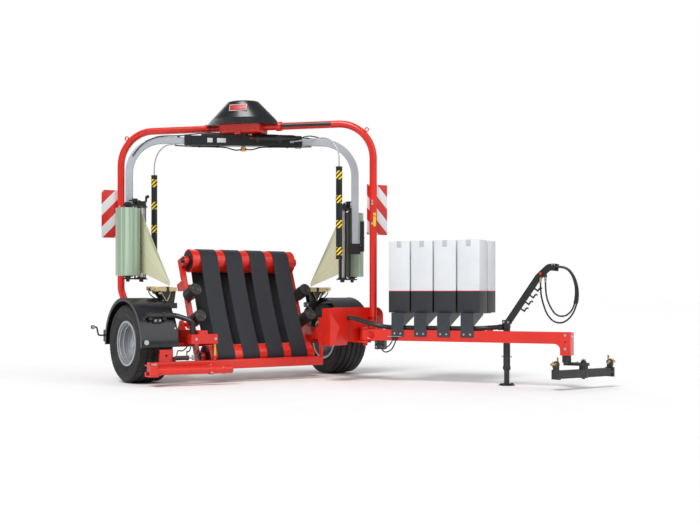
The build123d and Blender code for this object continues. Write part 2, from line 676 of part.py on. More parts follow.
# Satellites: beam, arms, film carriages, rolls, pre-stretch rollers and safety bars
with BuildPart(rotor_frame) as rotor_beam:
    half = ROTOR_BEAM_HALF
    beam_low = ROTOR_Z - ROTOR_BEAM_HEIGHT / 2
    beam_top = ROTOR_Z + ROTOR_BEAM_HEIGHT / 2
    with Locations((0, 0, ROTOR_Z)):
        Box(2 * half, ROTOR_BEAM_WIDTH, ROTOR_BEAM_HEIGHT)
        for x in (-half, half):
            with Locations((x * 0.94, 0, 0)):
                Box(70, ROTOR_BEAM_WIDTH + 2 * ROTOR_SLEEVE, ROTOR_BEAM_HEIGHT + 2 * ROTOR_SLEEVE)
        for x in (-half, half):
            with Locations((x, 0, 0)):
                Box(340, ARM_WIDTH + 2 * SEAT_GAP, ARM_DEPTH + 2 * SEAT_GAP, mode=Mode.SUBTRACT)
    with Locations((0, 0, (beam_top + HUB_BOX_LOW - 1) / 2)):
        Cylinder(ROTOR_POST_RADIUS, HUB_BOX_LOW - 1 - beam_top)
    with Locations((0, 0, HUB_BOX_LOW + ROTOR_PIN_LENGTH / 2 - 2)):
        Cylinder(ROTOR_PIN_RADIUS, ROTOR_PIN_LENGTH - 2)
finish(rotor_beam, "rotor_beam")

arm_plane = Plane(origin=(0, 0, 0), x_dir=heading(ROTOR_ANGLE), z_dir=heading(ROTOR_ANGLE - 90))
with BuildPart() as rotor_arms:
    for side in (1, -1):
        start = side * (ROTOR_BEAM_HALF - 170 + SEAT_GAP)
        with BuildLine(arm_plane) as arm_path:
            FilletPolyline(
                (start, ROTOR_Z),
                (side * ARM_REACH, ROTOR_Z),
                (side * ARM_REACH, ARM_FOOT),
                radius=ARM_BEND,
            )
        section = Plane(origin=arm_path.line @ 0, x_dir=(0, 0, 1), z_dir=arm_path.line % 0)
        with BuildSketch(section):
            RectangleRounded(ARM_DEPTH, ARM_WIDTH, ARM_CORNER)
        sweep(path=arm_path.line)
finish(rotor_arms, "rotor_arms")

# each carriage is a post below the arm with a top and a bottom bracket
carriage_top = ROLL_LOW + ROLL_HEIGHT + ROLL_CAP_HEIGHT
carriage_low = ROLL_LOW - ROLL_CAP_HEIGHT
for side, name in ((1, "left"), (-1, "right")):
    sat_frame = Plane(
        origin=(0, 0, 0),
        x_dir=heading(ROTOR_ANGLE + (0 if side > 0 else 180)),
        z_dir=(0, 0, 1),
    )
    with BuildPart(sat_frame) as carriage:
        inner_x = STRETCH_REACH - STRETCH_RADIUS - 18
        arm_inner = ARM_REACH - ARM_DEPTH / 2
        arm_outer = ARM_REACH + ARM_DEPTH / 2
        cap_inner = arm_inner - FOOT_CAP_WALL
        cap_outer = arm_outer + FOOT_CAP_WALL
        bracket_top = carriage_top + ROLL_HOLDER_WALL
        bracket_low = carriage_low - ROLL_HOLDER_WALL
        # cap on the foot of the arm, and the plate that carries the brackets
        block((cap_inner, cap_outer), (-ARM_WIDTH / 2 - FOOT_CAP_WALL, ARM_WIDTH / 2 + FOOT_CAP_WALL),
              (ARM_FOOT - FOOT_CAP_DROP, ARM_FOOT + FOOT_CAP_RISE))
        block((arm_inner - SEAT_GAP, arm_outer + SEAT_GAP),
              (-ARM_WIDTH / 2 - SEAT_GAP, ARM_WIDTH / 2 + SEAT_GAP),
              (ARM_FOOT - SEAT_GAP, ARM_FOOT + FOOT_CAP_RISE + 1), mode=Mode.SUBTRACT)
        block((cap_inner - BACK_PLATE_WALL, cap_inner), (-BRACKET_HALF, BRACKET_HALF),
              (bracket_low, bracket_top))
        # bottom and top brackets: a bar to the roll and one to the rollers
        for low in (bracket_low, carriage_top):
            with BuildSketch(sat_frame.offset(low)):
                with BuildLine():
                    Polyline(
                        (inner_x, STRETCH_OFFSETS[0] + BRACKET_HALF),
                        (inner_x, -BRACKET_HALF),
                        (cap_inner, -BRACKET_HALF),
                        (cap_inner, BRACKET_HALF),
                        (ROLL_REACH + BRACKET_HALF, ROLL_OFFSET - BRACKET_NECK),
                        (ROLL_REACH + BRACKET_HALF, ROLL_OFFSET + BRACKET_HALF),
                        (ROLL_REACH - BRACKET_HALF, ROLL_OFFSET + BRACKET_HALF),
                        close=True,
                    )
                make_face()
            extrude(amount=ROLL_HOLDER_WALL)
        # spindle ends that reach into the roll's core
        roll_top = ROLL_LOW + ROLL_HEIGHT
        spindles = ((carriage_low - 1, ROLL_LOW + SPINDLE_REACH), (roll_top - SPINDLE_REACH, carriage_top + 1))
        for low, high in spindles:
            post(ROLL_REACH, ROLL_OFFSET, SPINDLE_RADIUS, low, high)
        # gear case, knobs and foot studs on the brackets
        block((inner_x + 10, STRETCH_REACH + STRETCH_RADIUS),
              (STRETCH_OFFSETS[1] - GEAR_CASE_SIDE, STRETCH_OFFSETS[0] + GEAR_CASE_SIDE - 4),
              (bracket_top - 1, bracket_top + GEAR_CASE_HEIGHT))
        knob_x = STRETCH_REACH + STRETCH_RADIUS + KNOB_RADIUS + 6
        post(knob_x, STRETCH_OFFSETS[0] / 2, KNOB_RADIUS, bracket_top - 1, bracket_top + KNOB_HEIGHT)
        post(ROLL_REACH, ROLL_OFFSET, ROLL_CORE_RADIUS, bracket_top - 1, bracket_top + GEAR_CASE_HEIGHT / 2)
        studs = [(STRETCH_REACH, offset) for offset in STRETCH_OFFSETS] + [(ROLL_REACH, ROLL_OFFSET)]
        for stud in studs:
            post(*stud, FOOT_STUD_RADIUS, bracket_low - FOOT_STUD_DROP, bracket_low + 1)
        post(inner_x + 2 * TIE_ROD_RADIUS, TIE_ROD_OFFSET, TIE_ROD_RADIUS, bracket_low + 1, bracket_top - 1)
        # damper beside the foot of the arm
        lug_zs = (ARM_FOOT - DAMPER_LUG_DROP, DAMPER_LOW + 1)
        post(ARM_REACH + DAMPER_REACH, 0, DAMPER_RADIUS, DAMPER_LOW, DAMPER_TOP)
        block((cap_outer - 1, ARM_REACH + DAMPER_REACH), (-DAMPER_RADIUS, DAMPER_RADIUS), lug_zs)
        post(ARM_REACH + DAMPER_REACH, 0, DAMPER_RADIUS, *lug_zs)
    finish(carriage, f"film_carriage_{name}")

    with BuildPart(sat_frame) as roll:
        post(ROLL_REACH, ROLL_OFFSET, ROLL_RADIUS, ROLL_LOW, ROLL_LOW + ROLL_HEIGHT)
        core_depth = SPINDLE_REACH + 2
        for low, high in ((ROLL_LOW, ROLL_LOW + core_depth), (roll_top - core_depth, roll_top)):
            post(ROLL_REACH, ROLL_OFFSET, SPINDLE_RADIUS + PIN_GAP, low, high, mode=Mode.SUBTRACT)
    finish(roll, f"film_roll_{name}")

    with BuildPart(sat_frame) as stretch_rollers:
        for offset in STRETCH_OFFSETS:
            post(STRETCH_REACH, offset, STRETCH_RADIUS, carriage_low + SEAT_GAP, carriage_top - SEAT_GAP)
    finish(stretch_rollers, f"stretch_rollers_{name}")

    rod_end = Vector(GUARD_BAR_REACH, GUARD_BAR_OFFSET, GUARD_BAR_TOP)
    rod_start = Vector(GUARD_ROD_START, -ROTOR_BEAM_WIDTH / 2 - SEAT_GAP - 12, ROTOR_Z)
    with BuildPart(sat_frame) as safety_bar:
        post(GUARD_BAR_REACH, GUARD_BAR_OFFSET, GUARD_BAR_RADIUS, GUARD_BAR_LOW, GUARD_BAR_TOP)
    finish(safety_bar, f"safety_bar_{name}")
    with BuildPart(sat_frame) as safety_rod:
        with BuildLine(sat_frame) as rod_path:
            FilletPolyline(
                (rod_start.X, rod_start.Y, rod_start.Z),
                (rod_end.X, rod_end.Y, rod_start.Z),
                (rod_end.X, rod_end.Y, rod_end.Z + SEAT_GAP),
                radius=GUARD_ROD_BEND,
            )
        with BuildSketch(Plane(origin=rod_path.line @ 0, z_dir=rod_path.line % 0)):
            Circle(GUARD_ROD_RADIUS)
        sweep(path=rod_path.line)
        # foot that clamps the rod to the beam
        block((rod_start.X - 30, rod_start.X + 14),
              (-ROTOR_BEAM_WIDTH / 2 - 30, -ROTOR_BEAM_WIDTH / 2 - SEAT_GAP),
              (ROTOR_Z - 16, ROTOR_Z + 16))
    finish(safety_rod, f"safety_rod_{name}")

    # film from the inner roller down to the cutter
    tip = sat_frame.to_local_coords(Vector(-side * FILM_TIP_X, side * FILM_TIP_Y, 0))
    start = Vector(STRETCH_REACH, STRETCH_OFFSETS[0] + STRETCH_RADIUS + SEAT_GAP, 0)
    film_origin = sat_frame.from_local_coords(start)
    film_way = sat_frame.from_local_coords(tip) - film_origin
    film_plane = Plane(origin=film_origin, x_dir=film_way, z_dir=film_way.cross(Vector(0, 0, 1)))
    film_run = (tip - start).length
    with BuildPart() as film_web:
        with BuildSketch(film_plane):
            with BuildLine():
                Polyline(
                    (0, ROLL_LOW + FILM_MARGIN + 30),
                    (film_run, FILM_TIP_LOW),
                    (film_run, FILM_TIP_LOW + FILM_TIP_HEIGHT),
                    (0, ROLL_LOW + ROLL_HEIGHT - FILM_MARGIN),
                    close=True,
                )
            make_face()
        extrude(amount=FILM_WALL)
    finish(film_web, f"film_web_{name}")

with BuildPart() as rotary_union:
    post(0, 0, UNION_RADIUS, beam_low - UNION_HEIGHT - SEAT_GAP, beam_low - SEAT_GAP)
finish(rotary_union, "rotary_union")

# Table: two drums, four belts, side arms on the pivot, and guide rollers
with BuildPart(table_frame) as drums:
    for along in (0, DRUM_SPACING):
        cross_rod(along, 0, DRUM_RADIUS, -DRUM_LENGTH / 2 + 2, DRUM_LENGTH / 2 - 2)
finish(drums, "table_drums")

with BuildPart(table_frame) as drum_shafts:
    for along in (0, DRUM_SPACING):
        for side in (1, -1):
            ends = sorted((side * (DRUM_LENGTH / 2 - 2), side * (bearing_y + 2)))
            cross_rod(along, 0, DRUM_SHAFT_RADIUS, *ends)
finish(drum_shafts, "drum_shafts")

belt_inner = DRUM_RADIUS + SEAT_GAP
belt_outer = belt_inner + BELT_WALL
front_angle, back_angle = math.radians(BELT_FRONT_ANGLE), math.radians(BELT_BACK_ANGLE)
with BuildPart(table_frame) as belts:
    for index in range(BELT_COUNT):
        centre_y = (index - (BELT_COUNT - 1) / 2) * BELT_PITCH
        belt_plane = Plane(
            origin=table_frame.from_local_coords(Vector(0, centre_y + BELT_WIDTH / 2, 0)),
            x_dir=table_frame.x_dir,
            z_dir=(0, -1, 0),
        )
        with BuildSketch(belt_plane):
            for reach, mode in ((belt_outer, Mode.ADD), (belt_inner, Mode.SUBTRACT)):
                # the front run hangs in and the back run hangs out, each tangent to both drums
                front_x = reach * math.sin(front_angle)
                front_z = reach * math.cos(front_angle)
                front_mid = front_z - (DRUM_SPACING / 2 - front_x) * math.tan(front_angle / 2)
                back_x = reach * math.sin(back_angle)
                back_z = -reach * math.cos(back_angle)
                back_mid = back_z - (DRUM_SPACING / 2 + back_x) * math.tan(back_angle / 2)
                with BuildLine():
                    ThreePointArc((front_x, front_z), (-reach, 0), (-back_x, back_z))
                    ThreePointArc((-back_x, back_z), (DRUM_SPACING / 2, back_mid),
                                  (DRUM_SPACING + back_x, back_z))
                    ThreePointArc((DRUM_SPACING + back_x, back_z), (DRUM_SPACING + reach, 0),
                                  (DRUM_SPACING - front_x, front_z))
                    ThreePointArc((DRUM_SPACING - front_x, front_z), (DRUM_SPACING / 2, front_mid),
                                  (front_x, front_z))
                make_face(mode=mode)
        extrude(amount=BELT_WIDTH)
finish(belts, "table_belts")


def side_arm_span(side):
    """Range across the table of one of its side arms."""
    return sorted((side * (SIDE_ARM_Y - SIDE_ARM_WIDTH / 2), side * (SIDE_ARM_Y + SIDE_ARM_WIDTH / 2)))


with BuildPart(table_frame) as table_frame_piece:
    for side in (1, -1):
        plate_ys = sorted((side * (bearing_y + 2 + SEAT_GAP), side * (SIDE_ARM_Y - SIDE_ARM_WIDTH / 2 + 4)))
        arm_ys = side_arm_span(side)
        arm_top = SIDE_ARM_LOW + SIDE_ARM_HEIGHT
        block((-BEARING_RADIUS, DRUM_SPACING + BEARING_RADIUS), arm_ys, (SIDE_ARM_LOW, arm_top))
        for along in (0, DRUM_SPACING):
            block((along - BEARING_RADIUS, along + BEARING_RADIUS), arm_ys, (SIDE_ARM_LOW, 0))
            cross_rod(along, 0, BEARING_RADIUS, *arm_ys)
            cross_rod(along, 0, BEARING_RADIUS - 12, *plate_ys)
        # pivot lug and pin
        block((PIVOT_ALONG - PIVOT_LUG_RADIUS, PIVOT_ALONG + PIVOT_LUG_RADIUS), arm_ys,
              (-PIVOT_DEPTH, SIDE_ARM_LOW + 10))
        cross_rod(PIVOT_ALONG, -PIVOT_DEPTH, PIVOT_LUG_RADIUS, *arm_ys)
        pin_ys = sorted((side * SIDE_ARM_Y, side * (side_inner + 30)))
        cross_rod(PIVOT_ALONG, -PIVOT_DEPTH, PIVOT_PIN_RADIUS, *pin_ys)
        # seats and pins of the guide rollers
        for along in GUIDE_ALONG:
            post(along, side * GUIDE_Y, GUIDE_PIN_RADIUS, arm_top - 1, GUIDE_LOW + GUIDE_PIN_LENGTH)
    # tube between the side arms, behind the belts
    tube_z = SIDE_ARM_LOW - TABLE_TUBE_DROP
    cross_rod(TABLE_TUBE_ALONG, tube_z, TABLE_TUBE_RADIUS, -SIDE_ARM_Y, SIDE_ARM_Y)
    for side in (1, -1):
        block((TABLE_TUBE_ALONG - TABLE_TUBE_LUG, TABLE_TUBE_ALONG + TABLE_TUBE_LUG), side_arm_span(side),
              (tube_z - TABLE_TUBE_RADIUS, SIDE_ARM_LOW + SIDE_ARM_HEIGHT / 2))
finish(table_frame_piece, "table_frame")

guide_rows = (("left", 1), ("right", -1))
for name, side in guide_rows:
    for level, along in zip(("upper", "lower"), GUIDE_ALONG):
        with BuildPart(table_frame) as guide:
            post(along, side * GUIDE_Y, GUIDE_RADIUS, GUIDE_LOW, GUIDE_LOW + GUIDE_LENGTH)
            fillet(guide.edges(), GUIDE_CORNER)
            post(along, side * GUIDE_Y, GUIDE_PIN_RADIUS + PIN_GAP, GUIDE_LOW,
                 GUIDE_LOW + GUIDE_PIN_LENGTH + 2, mode=Mode.SUBTRACT)
        finish(guide, f"guide_roller_{name}_{level}")

# Film cutters: a V of two plates on a post, with two jaws along its top
with BuildPart() as cutter_posts:
    for side in (1, -1):
        x, y = -side * FILM_TIP_X, side * FILM_TIP_Y
        half = CUTTER_POST / 2
        axle_top = axle_z + AXLE_SIZE / 2 + SEAT_GAP
        head_top = CUTTER_HEAD_LOW + CUTTER_HEAD_HEIGHT
        head_half = CUTTER_HEAD_WIDTH / 2
        post_x = -side * half / 2
        block((post_x - half, post_x + half), (y - half, y + half), (axle_top, CUTTER_HEAD_LOW + 1))
        block((x - head_half, x + head_half), (y - head_half, y + head_half), (CUTTER_HEAD_LOW, head_top))
        for plate_x in (x - CUTTER_V_GAP / 2 - CUTTER_V_WALL, x + CUTTER_V_GAP / 2):
            with BuildSketch(Plane.YZ.offset(plate_x)):
                with BuildLine():
                    Polyline(
                        (y - side * half, head_top - 1),
                        (y + side * half, head_top - 1),
                        (y + side * CUTTER_V_OUTER, CUTTER_V_TOP),
                        (y - side * CUTTER_V_INNER, CUTTER_V_TOP),
                        close=True,
                    )
                make_face()
            extrude(amount=CUTTER_V_WALL)
finish(cutter_posts, "cutter_posts")

with BuildPart() as cutter_jaws:
    for side in (1, -1):
        x, y = -side * FILM_TIP_X, side * FILM_TIP_Y
        jaw_low = CUTTER_V_TOP + SEAT_GAP
        ys = sorted((y - side * CUTTER_V_INNER, y + side * CUTTER_JAW_OUTER))
        jaw_top = jaw_low + CUTTER_JAW_HEIGHT
        jaw_reach = CUTTER_V_GAP / 2 + CUTTER_JAW_WIDTH / 2
        jaw_end = y + side * CUTTER_JAW_OUTER
        for jaw_x in (x - jaw_reach, x + jaw_reach):
            block((jaw_x - CUTTER_JAW_WIDTH / 2, jaw_x + CUTTER_JAW_WIDTH / 2), ys, (jaw_low, jaw_top))
            block((jaw_x - CUTTER_JAW_WIDTH / 3, jaw_x + CUTTER_JAW_WIDTH / 3),
                  (jaw_end - CUTTER_CAM_RADIUS, jaw_end + CUTTER_CAM_RADIUS),
                  (jaw_low + CUTTER_JAW_WIDTH / 3, jaw_top + CUTTER_JAW_WIDTH / 4))
        # ram between the jaws
        ram_ys = sorted((y + side * CUTTER_POST, y + side * CUTTER_JAW_OUTER))
        cross_rod(x, jaw_low + CUTTER_JAW_HEIGHT / 2, CUTTER_CYLINDER_RADIUS, *ram_ys)
        block((x - CUTTER_V_GAP / 2 - 1, x + CUTTER_V_GAP / 2 + 1), (ram_ys[0], ram_ys[0] + CUTTER_POST / 2),
              (jaw_low + CUTTER_JAW_HEIGHT / 4, jaw_low + CUTTER_JAW_HEIGHT * 3 / 4))
finish(cutter_jaws, "cutter_jaws")

# Cover box with folded facets on its front
with BuildPart() as cover_box:
    box_back = cross_front + SEAT_GAP
    box_outer = drawbar_pivot[1] - COVER_BOX_INSET
    block((box_back, box_back + COVER_BOX_DEPTH), (box_outer - COVER_BOX_WIDTH, box_outer), COVER_BOX_Z)
    ridge_y = box_outer - COVER_BOX_WIDTH * (1 - FACET_SHARE)
    ridge = (box_back + COVER_BOX_DEPTH, ridge_y, sum(COVER_BOX_Z) / 2)
    for facing in (FACET_UP, FACET_DOWN):
        split(bisect_by=Plane(origin=ridge, z_dir=facing), keep=Keep.BOTTOM)
finish(cover_box, "cover_box")

# Drawbar with its nose plates and yoke
with BuildPart(drawbar_frame) as drawbar:
    half = DRAWBAR_WIDTH / 2
    block((0, DRAWBAR_LENGTH), (-half, half), (DRAWBAR_LOW, drawbar_top))
    post(0, 0, DRAWBAR_EYE_RADIUS, DRAWBAR_LOW, drawbar_top)
    post(0, 0, DRAWBAR_PIN_RADIUS + PIN_GAP, DRAWBAR_LOW, drawbar_top, mode=Mode.SUBTRACT)
    nose_back = DRAWBAR_LENGTH - NOSE_LENGTH
    block((nose_back, DRAWBAR_LENGTH), (-half, half), (NOSE_LOW, DRAWBAR_LOW + 1))
    nose_ys = (-half - NOSE_WALL, half + NOSE_WALL)
    block((nose_back, DRAWBAR_LENGTH + 4), nose_ys, (NOSE_LOW, drawbar_top - 4))
    with BuildSketch(Plane(origin=drawbar_frame.from_local_coords(Vector(0, nose_ys[1], 0)),
                           x_dir=drawbar_frame.x_dir,
                           z_dir=drawbar_frame.x_dir.cross(Vector(0, 0, 1)))):
        with BuildLine():
            Polyline(
                (nose_back, DRAWBAR_LOW - NOSE_GUSSET),
                (nose_back, DRAWBAR_LOW),
                (nose_back - NOSE_GUSSET, DRAWBAR_LOW),
            )
            RadiusArc((nose_back - NOSE_GUSSET, DRAWBAR_LOW), (nose_back, DRAWBAR_LOW - NOSE_GUSSET),
                      NOSE_GUSSET)
        make_face()
    extrude(amount=nose_ys[1] - nose_ys[0])
finish(drawbar, "drawbar")

with BuildPart(drawbar_frame) as valve_box:
    valve_top = DRAWBAR_LOW - SEAT_GAP
    block(VALVE_X, (-VALVE_WIDTH / 2, VALVE_WIDTH / 2), (valve_top - VALVE_HEIGHT, valve_top))
    fillet(valve_box.edges().filter_by(Axis.Z), VALVE_CORNER)
finish(valve_box, "valve_box")

hitch_x = DRAWBAR_LENGTH + YOKE_REACH
with BuildPart(drawbar_frame) as yoke:
    yoke_top = YOKE_LOW + YOKE_WALL
    block((DRAWBAR_LENGTH - YOKE_BACK, hitch_x), (-YOKE_HALF_WIDTH, YOKE_HALF_WIDTH), (YOKE_LOW, yoke_top))
    post(hitch_x, 0, YOKE_HALF_WIDTH, YOKE_LOW, yoke_top)
    post(DRAWBAR_LENGTH - NOSE_LENGTH / 2, 0, 46, yoke_top - 1, NOSE_LOW - SEAT_GAP)
    post(hitch_x, 0, HITCH_BOLT_RADIUS, HITCH_LOW - 18, yoke_top + 34)
    post(hitch_x, 0, HITCH_BOLT_RADIUS + 12, yoke_top - 1, yoke_top + 22)
finish(yoke, "yoke")

# Lower-link cross-beam, square to the direction of travel
hitch_centre = drawbar_frame.from_local_coords(Vector(hitch_x, 0, 0))
with BuildPart() as hitch_beam:
    hx, hy = hitch_centre.X, hitch_centre.Y
    hitch_top = HITCH_LOW + HITCH_SIZE
    half = HITCH_SIZE / 2
    block((hx - half, hx + half), (hy - HITCH_LENGTH / 2, hy + HITCH_LENGTH / 2), (HITCH_LOW, hitch_top))
    post(hx, hy, HITCH_BOSS_RADIUS, HITCH_LOW - 6, YOKE_LOW - PIN_GAP)
    post(hx, hy, HITCH_BOLT_RADIUS + PIN_GAP, HITCH_LOW - 6, YOKE_LOW, mode=Mode.SUBTRACT)
    for side in (1, -1):
        end_y = hy + side * HITCH_LENGTH / 2
        ys = sorted((end_y - side * END_BLOCK_WALL, end_y))
        block((hx - END_BLOCK_DEPTH / 2, hx + END_BLOCK_DEPTH / 2), ys, (HITCH_LOW - 8, hitch_top + 8))
        block((hx - EAR_WIDTH / 2, hx + EAR_WIDTH / 2), ys, (hitch_top, LINK_PIN_Z))
        cross_rod(hx, LINK_PIN_Z, EAR_WIDTH / 2, *ys)
        cross_rod(hx, LINK_PIN_Z, LINK_SHANK_RADIUS + SEAT_GAP, *ys, mode=Mode.SUBTRACT)
finish(hitch_beam, "hitch_beam")

with BuildPart() as link_pins:
    for side in (1, -1):
        end_y = hy + side * HITCH_LENGTH / 2
        head_y = end_y - side * (END_BLOCK_WALL + SEAT_GAP)
        shoulder_y = end_y + side * LINK_SHOULDER
        ys = sorted((head_y, head_y - side * LINK_HEAD_WALL))
        cross_rod(hx, LINK_PIN_Z, LINK_HEAD_RADIUS, *ys)
        cross_rod(hx, LINK_PIN_Z, LINK_SHANK_RADIUS, *sorted((head_y, shoulder_y)))
        ys = sorted((shoulder_y, shoulder_y + side * LINK_PIN_LENGTH))
        cross_rod(hx, LINK_PIN_Z, LINK_PIN_RADIUS, *ys)
finish(link_pins, "link_pins")

# Parking jack beside the drawbar
jack_y = DRAWBAR_WIDTH / 2 + JACK_OUTER_RADIUS + 12
with BuildPart(drawbar_frame) as jack_tube:
    post(JACK_ALONG, jack_y, JACK_OUTER_RADIUS, JACK_OUTER_LOW, JACK_TOP)
    post(JACK_ALONG, jack_y, JACK_INNER_RADIUS + 0.8, JACK_OUTER_LOW, JACK_TOP - 8, mode=Mode.SUBTRACT)
    for low in (DRAWBAR_LOW + 8, drawbar_top - 28):
        block((JACK_ALONG - 34, JACK_ALONG + 34),
              (DRAWBAR_WIDTH / 2 + SEAT_GAP, jack_y - JACK_INNER_RADIUS - 3), (low, low + 20))
finish(jack_tube, "jack_tube")

with BuildPart(drawbar_frame) as jack_leg:
    post(JACK_ALONG, jack_y, JACK_INNER_RADIUS, JACK_FOOT_WALL - 1, JACK_TOP - 8 - MOVING_GAP - JACK_TRAVEL)
    post(JACK_ALONG, jack_y, JACK_FOOT_RADIUS, 0, JACK_FOOT_WALL)
finish(jack_leg, "jack_leg")

# Film store: two rows of cartons on folded racks
with BuildPart(drawbar_frame) as racks:
    plate_y = -DRAWBAR_WIDTH / 2 - SEAT_GAP
    for index in range(CARTON_COUNT):
        centre = CARTON_START + CARTON_SIZE / 2 + index * CARTON_PITCH
        xs = (centre - RACK_WIDTH / 2, centre + RACK_WIDTH / 2)
        block(xs, (plate_y - RACK_WALL, plate_y), (RACK_LOW, CARTON_LOW - SEAT_GAP))
        far_y = CARTON_NEAR + CARTON_PITCH + CARTON_SIZE
        block(xs, (plate_y - RACK_WALL, far_y), (CARTON_LOW - SEAT_GAP - RACK_WALL, CARTON_LOW - SEAT_GAP))
        # back leg that rises from the drawbar's top to the tray
        with BuildSketch(Plane(origin=drawbar_frame.from_local_coords(Vector(centre - RACK_WALL / 2, 0, 0)),
                               x_dir=drawbar_frame.y_dir, z_dir=drawbar_frame.x_dir)):
            with BuildLine():
                Polyline(
                    (plate_y, CARTON_LOW - RACK_WALL),
                    (plate_y, drawbar_top + 4),
                    (DRAWBAR_WIDTH / 2, drawbar_top + 4),
                    (far_y - 60, CARTON_LOW - RACK_WALL - 20),
                    (far_y - 60, CARTON_LOW - RACK_WALL),
                    close=True,
                )
            make_face()
        extrude(amount=RACK_WALL)
finish(racks, "film_racks")

with BuildPart(drawbar_frame) as cartons:
    for index in range(CARTON_COUNT):
        for row in (0, 1):
            x = CARTON_START + index * CARTON_PITCH
            y = CARTON_NEAR + row * CARTON_PITCH
            block((x, x + CARTON_SIZE), (y, y + CARTON_SIZE), (CARTON_LOW, CARTON_LOW + CARTON_HEIGHT))
finish(cartons, "film_cartons")

# Loading arm, folded across the front
arm_length = math.dist(ARM_PIVOT, ARM_END)
arm_heading = math.degrees(math.atan2(ARM_END[1] - ARM_PIVOT[1], ARM_END[0] - ARM_PIVOT[0]))
arm_frame = Plane(origin=(*ARM_PIVOT, LOAD_ARM_Z), x_dir=heading(arm_heading), z_dir=(0, 0, 1))
with BuildPart(arm_frame) as loading_arm:
    with Locations((0, 0, 0)):
        Cylinder(LOAD_EYE_RADIUS, 2 * LOAD_EYE_RADIUS)
    with Locations(Location((arm_length / 2, 0, 0), (0, 90, 0))):
        Cylinder(LOAD_ARM_RADIUS, arm_length)
    with Locations((0, 0, 0)):
        Cylinder(LOAD_PIN_RADIUS + PIN_GAP, 2 * LOAD_EYE_RADIUS, mode=Mode.SUBTRACT)
finish(loading_arm, "loading_arm")

# Warning boards behind the legs of the arch
with BuildPart() as warning_boards:
    for side in (1, -1):
        back = side * arch_leg[0] - ARCH_RADIUS - SEAT_GAP - BOARD_WALL
        inner_y = arch_leg[1] - BOARD_OVERLAP
        ys = sorted((side * inner_y, side * (inner_y + BOARD_WIDTH)))
        block((back, back + BOARD_WALL), ys, (BOARD_LOW, BOARD_LOW + BOARD_HEIGHT))
finish(warning_boards, "warning_boards")

# Rear lamps on the mudguards, with marker lamps on bent stalks
with BuildPart() as rear_lamps:
    for side in (1, -1):
        back = -GUARD_RADIUS - SEAT_GAP
        ys = sorted((side * LAMP_Y[0], side * LAMP_Y[1]))
        block((back - LAMP_DEPTH, back), ys, LAMP_Z)
        with BuildLine() as stalk_path:
            FilletPolyline(
                (back - LAMP_DEPTH / 2, side * (LAMP_Y[1] - 2), LAMP_Z[0] + 70),
                (back - LAMP_DEPTH / 2, side * (LAMP_Y[1] + 70), LAMP_Z[0] + 70),
                (back - LAMP_DEPTH / 2, side * (LAMP_Y[1] + 90), MARKER_Z),
                (back - LAMP_DEPTH / 2, side * (MARKER_Y - 20), MARKER_Z),
                radius=STALK_BEND,
            )
        with BuildSketch(Plane(origin=stalk_path.line @ 0, z_dir=stalk_path.line % 0)):
            Circle(STALK_RADIUS)
        sweep(path=stalk_path.line)
        ys = sorted((side * (MARKER_Y - MARKER_WIDTH), side * MARKER_Y))
        marker_x = back - LAMP_DEPTH / 2
        block((marker_x - MARKER_HALF, marker_x + MARKER_HALF), ys, (MARKER_Z - 20, MARKER_Z + 20))
finish(rear_lamps, "rear_lamps")

with BuildPart() as lamp_lenses:
    for side in (1, -1):
        face = back - LAMP_DEPTH - SEAT_GAP
        ys = sorted((side * (LAMP_Y[0] + LENS_INSET), side * (LAMP_Y[1] - LENS_INSET)))
        block((face - LENS_WALL, face), ys, (LAMP_Z[0] + LENS_INSET, LAMP_Z[1] - LENS_INSET))
        ys = sorted((side * (MARKER_Y - MARKER_WIDTH + 4), side * (MARKER_Y - 4)))
        marker_x = back - LAMP_DEPTH / 2
        for x in (marker_x - MARKER_HALF - SEAT_GAP - LENS_WALL, marker_x + MARKER_HALF + SEAT_GAP):
            block((x, x + LENS_WALL), ys, (MARKER_Z - MARKER_HALF, MARKER_Z + MARKER_HALF))
finish(lamp_lenses, "lamp_lenses")

# Hose rack on the jack's bracket: a bent flat bar with four hooks and a hose clip
rack_plane = Plane(
    origin=drawbar_frame.from_local_coords(Vector(JACK_ALONG, jack_y, 0)),
    x_dir=drawbar_frame.x_dir,
    z_dir=drawbar_frame.x_dir.cross(Vector(0, 0, 1)),
)
with BuildPart() as hose_rack:
    with BuildSketch(rack_plane):
        with BuildLine() as rack_line:
            FilletPolyline(*RACK_POINTS, radius=RACK_BEND)
        trace(rack_line.line, line_width=RACK_BAR_WIDTH)
        slope = Vector(RACK_POINTS[1]) - Vector(RACK_POINTS[0])
        along = slope.normalized()
        outwards = Vector(along.Y, -along.X)
        for share in HOOK_SHARES:
            foot = Vector(RACK_POINTS[0]) + slope * share
            with BuildLine() as hook_line:
                Polyline(
                    foot + outwards * (RACK_BAR_WIDTH / 2 - 6),
                    foot + outwards * (RACK_BAR_WIDTH / 2 + HOOK_REACH),
                    foot + outwards * (RACK_BAR_WIDTH / 2 + HOOK_REACH) + along * HOOK_RISE,
                )
            trace(hook_line.line, line_width=HOOK_WIDTH)
    extrude(amount=RACK_BAR_WALL / 2, both=True)
finish(hose_rack, "hose_rack")

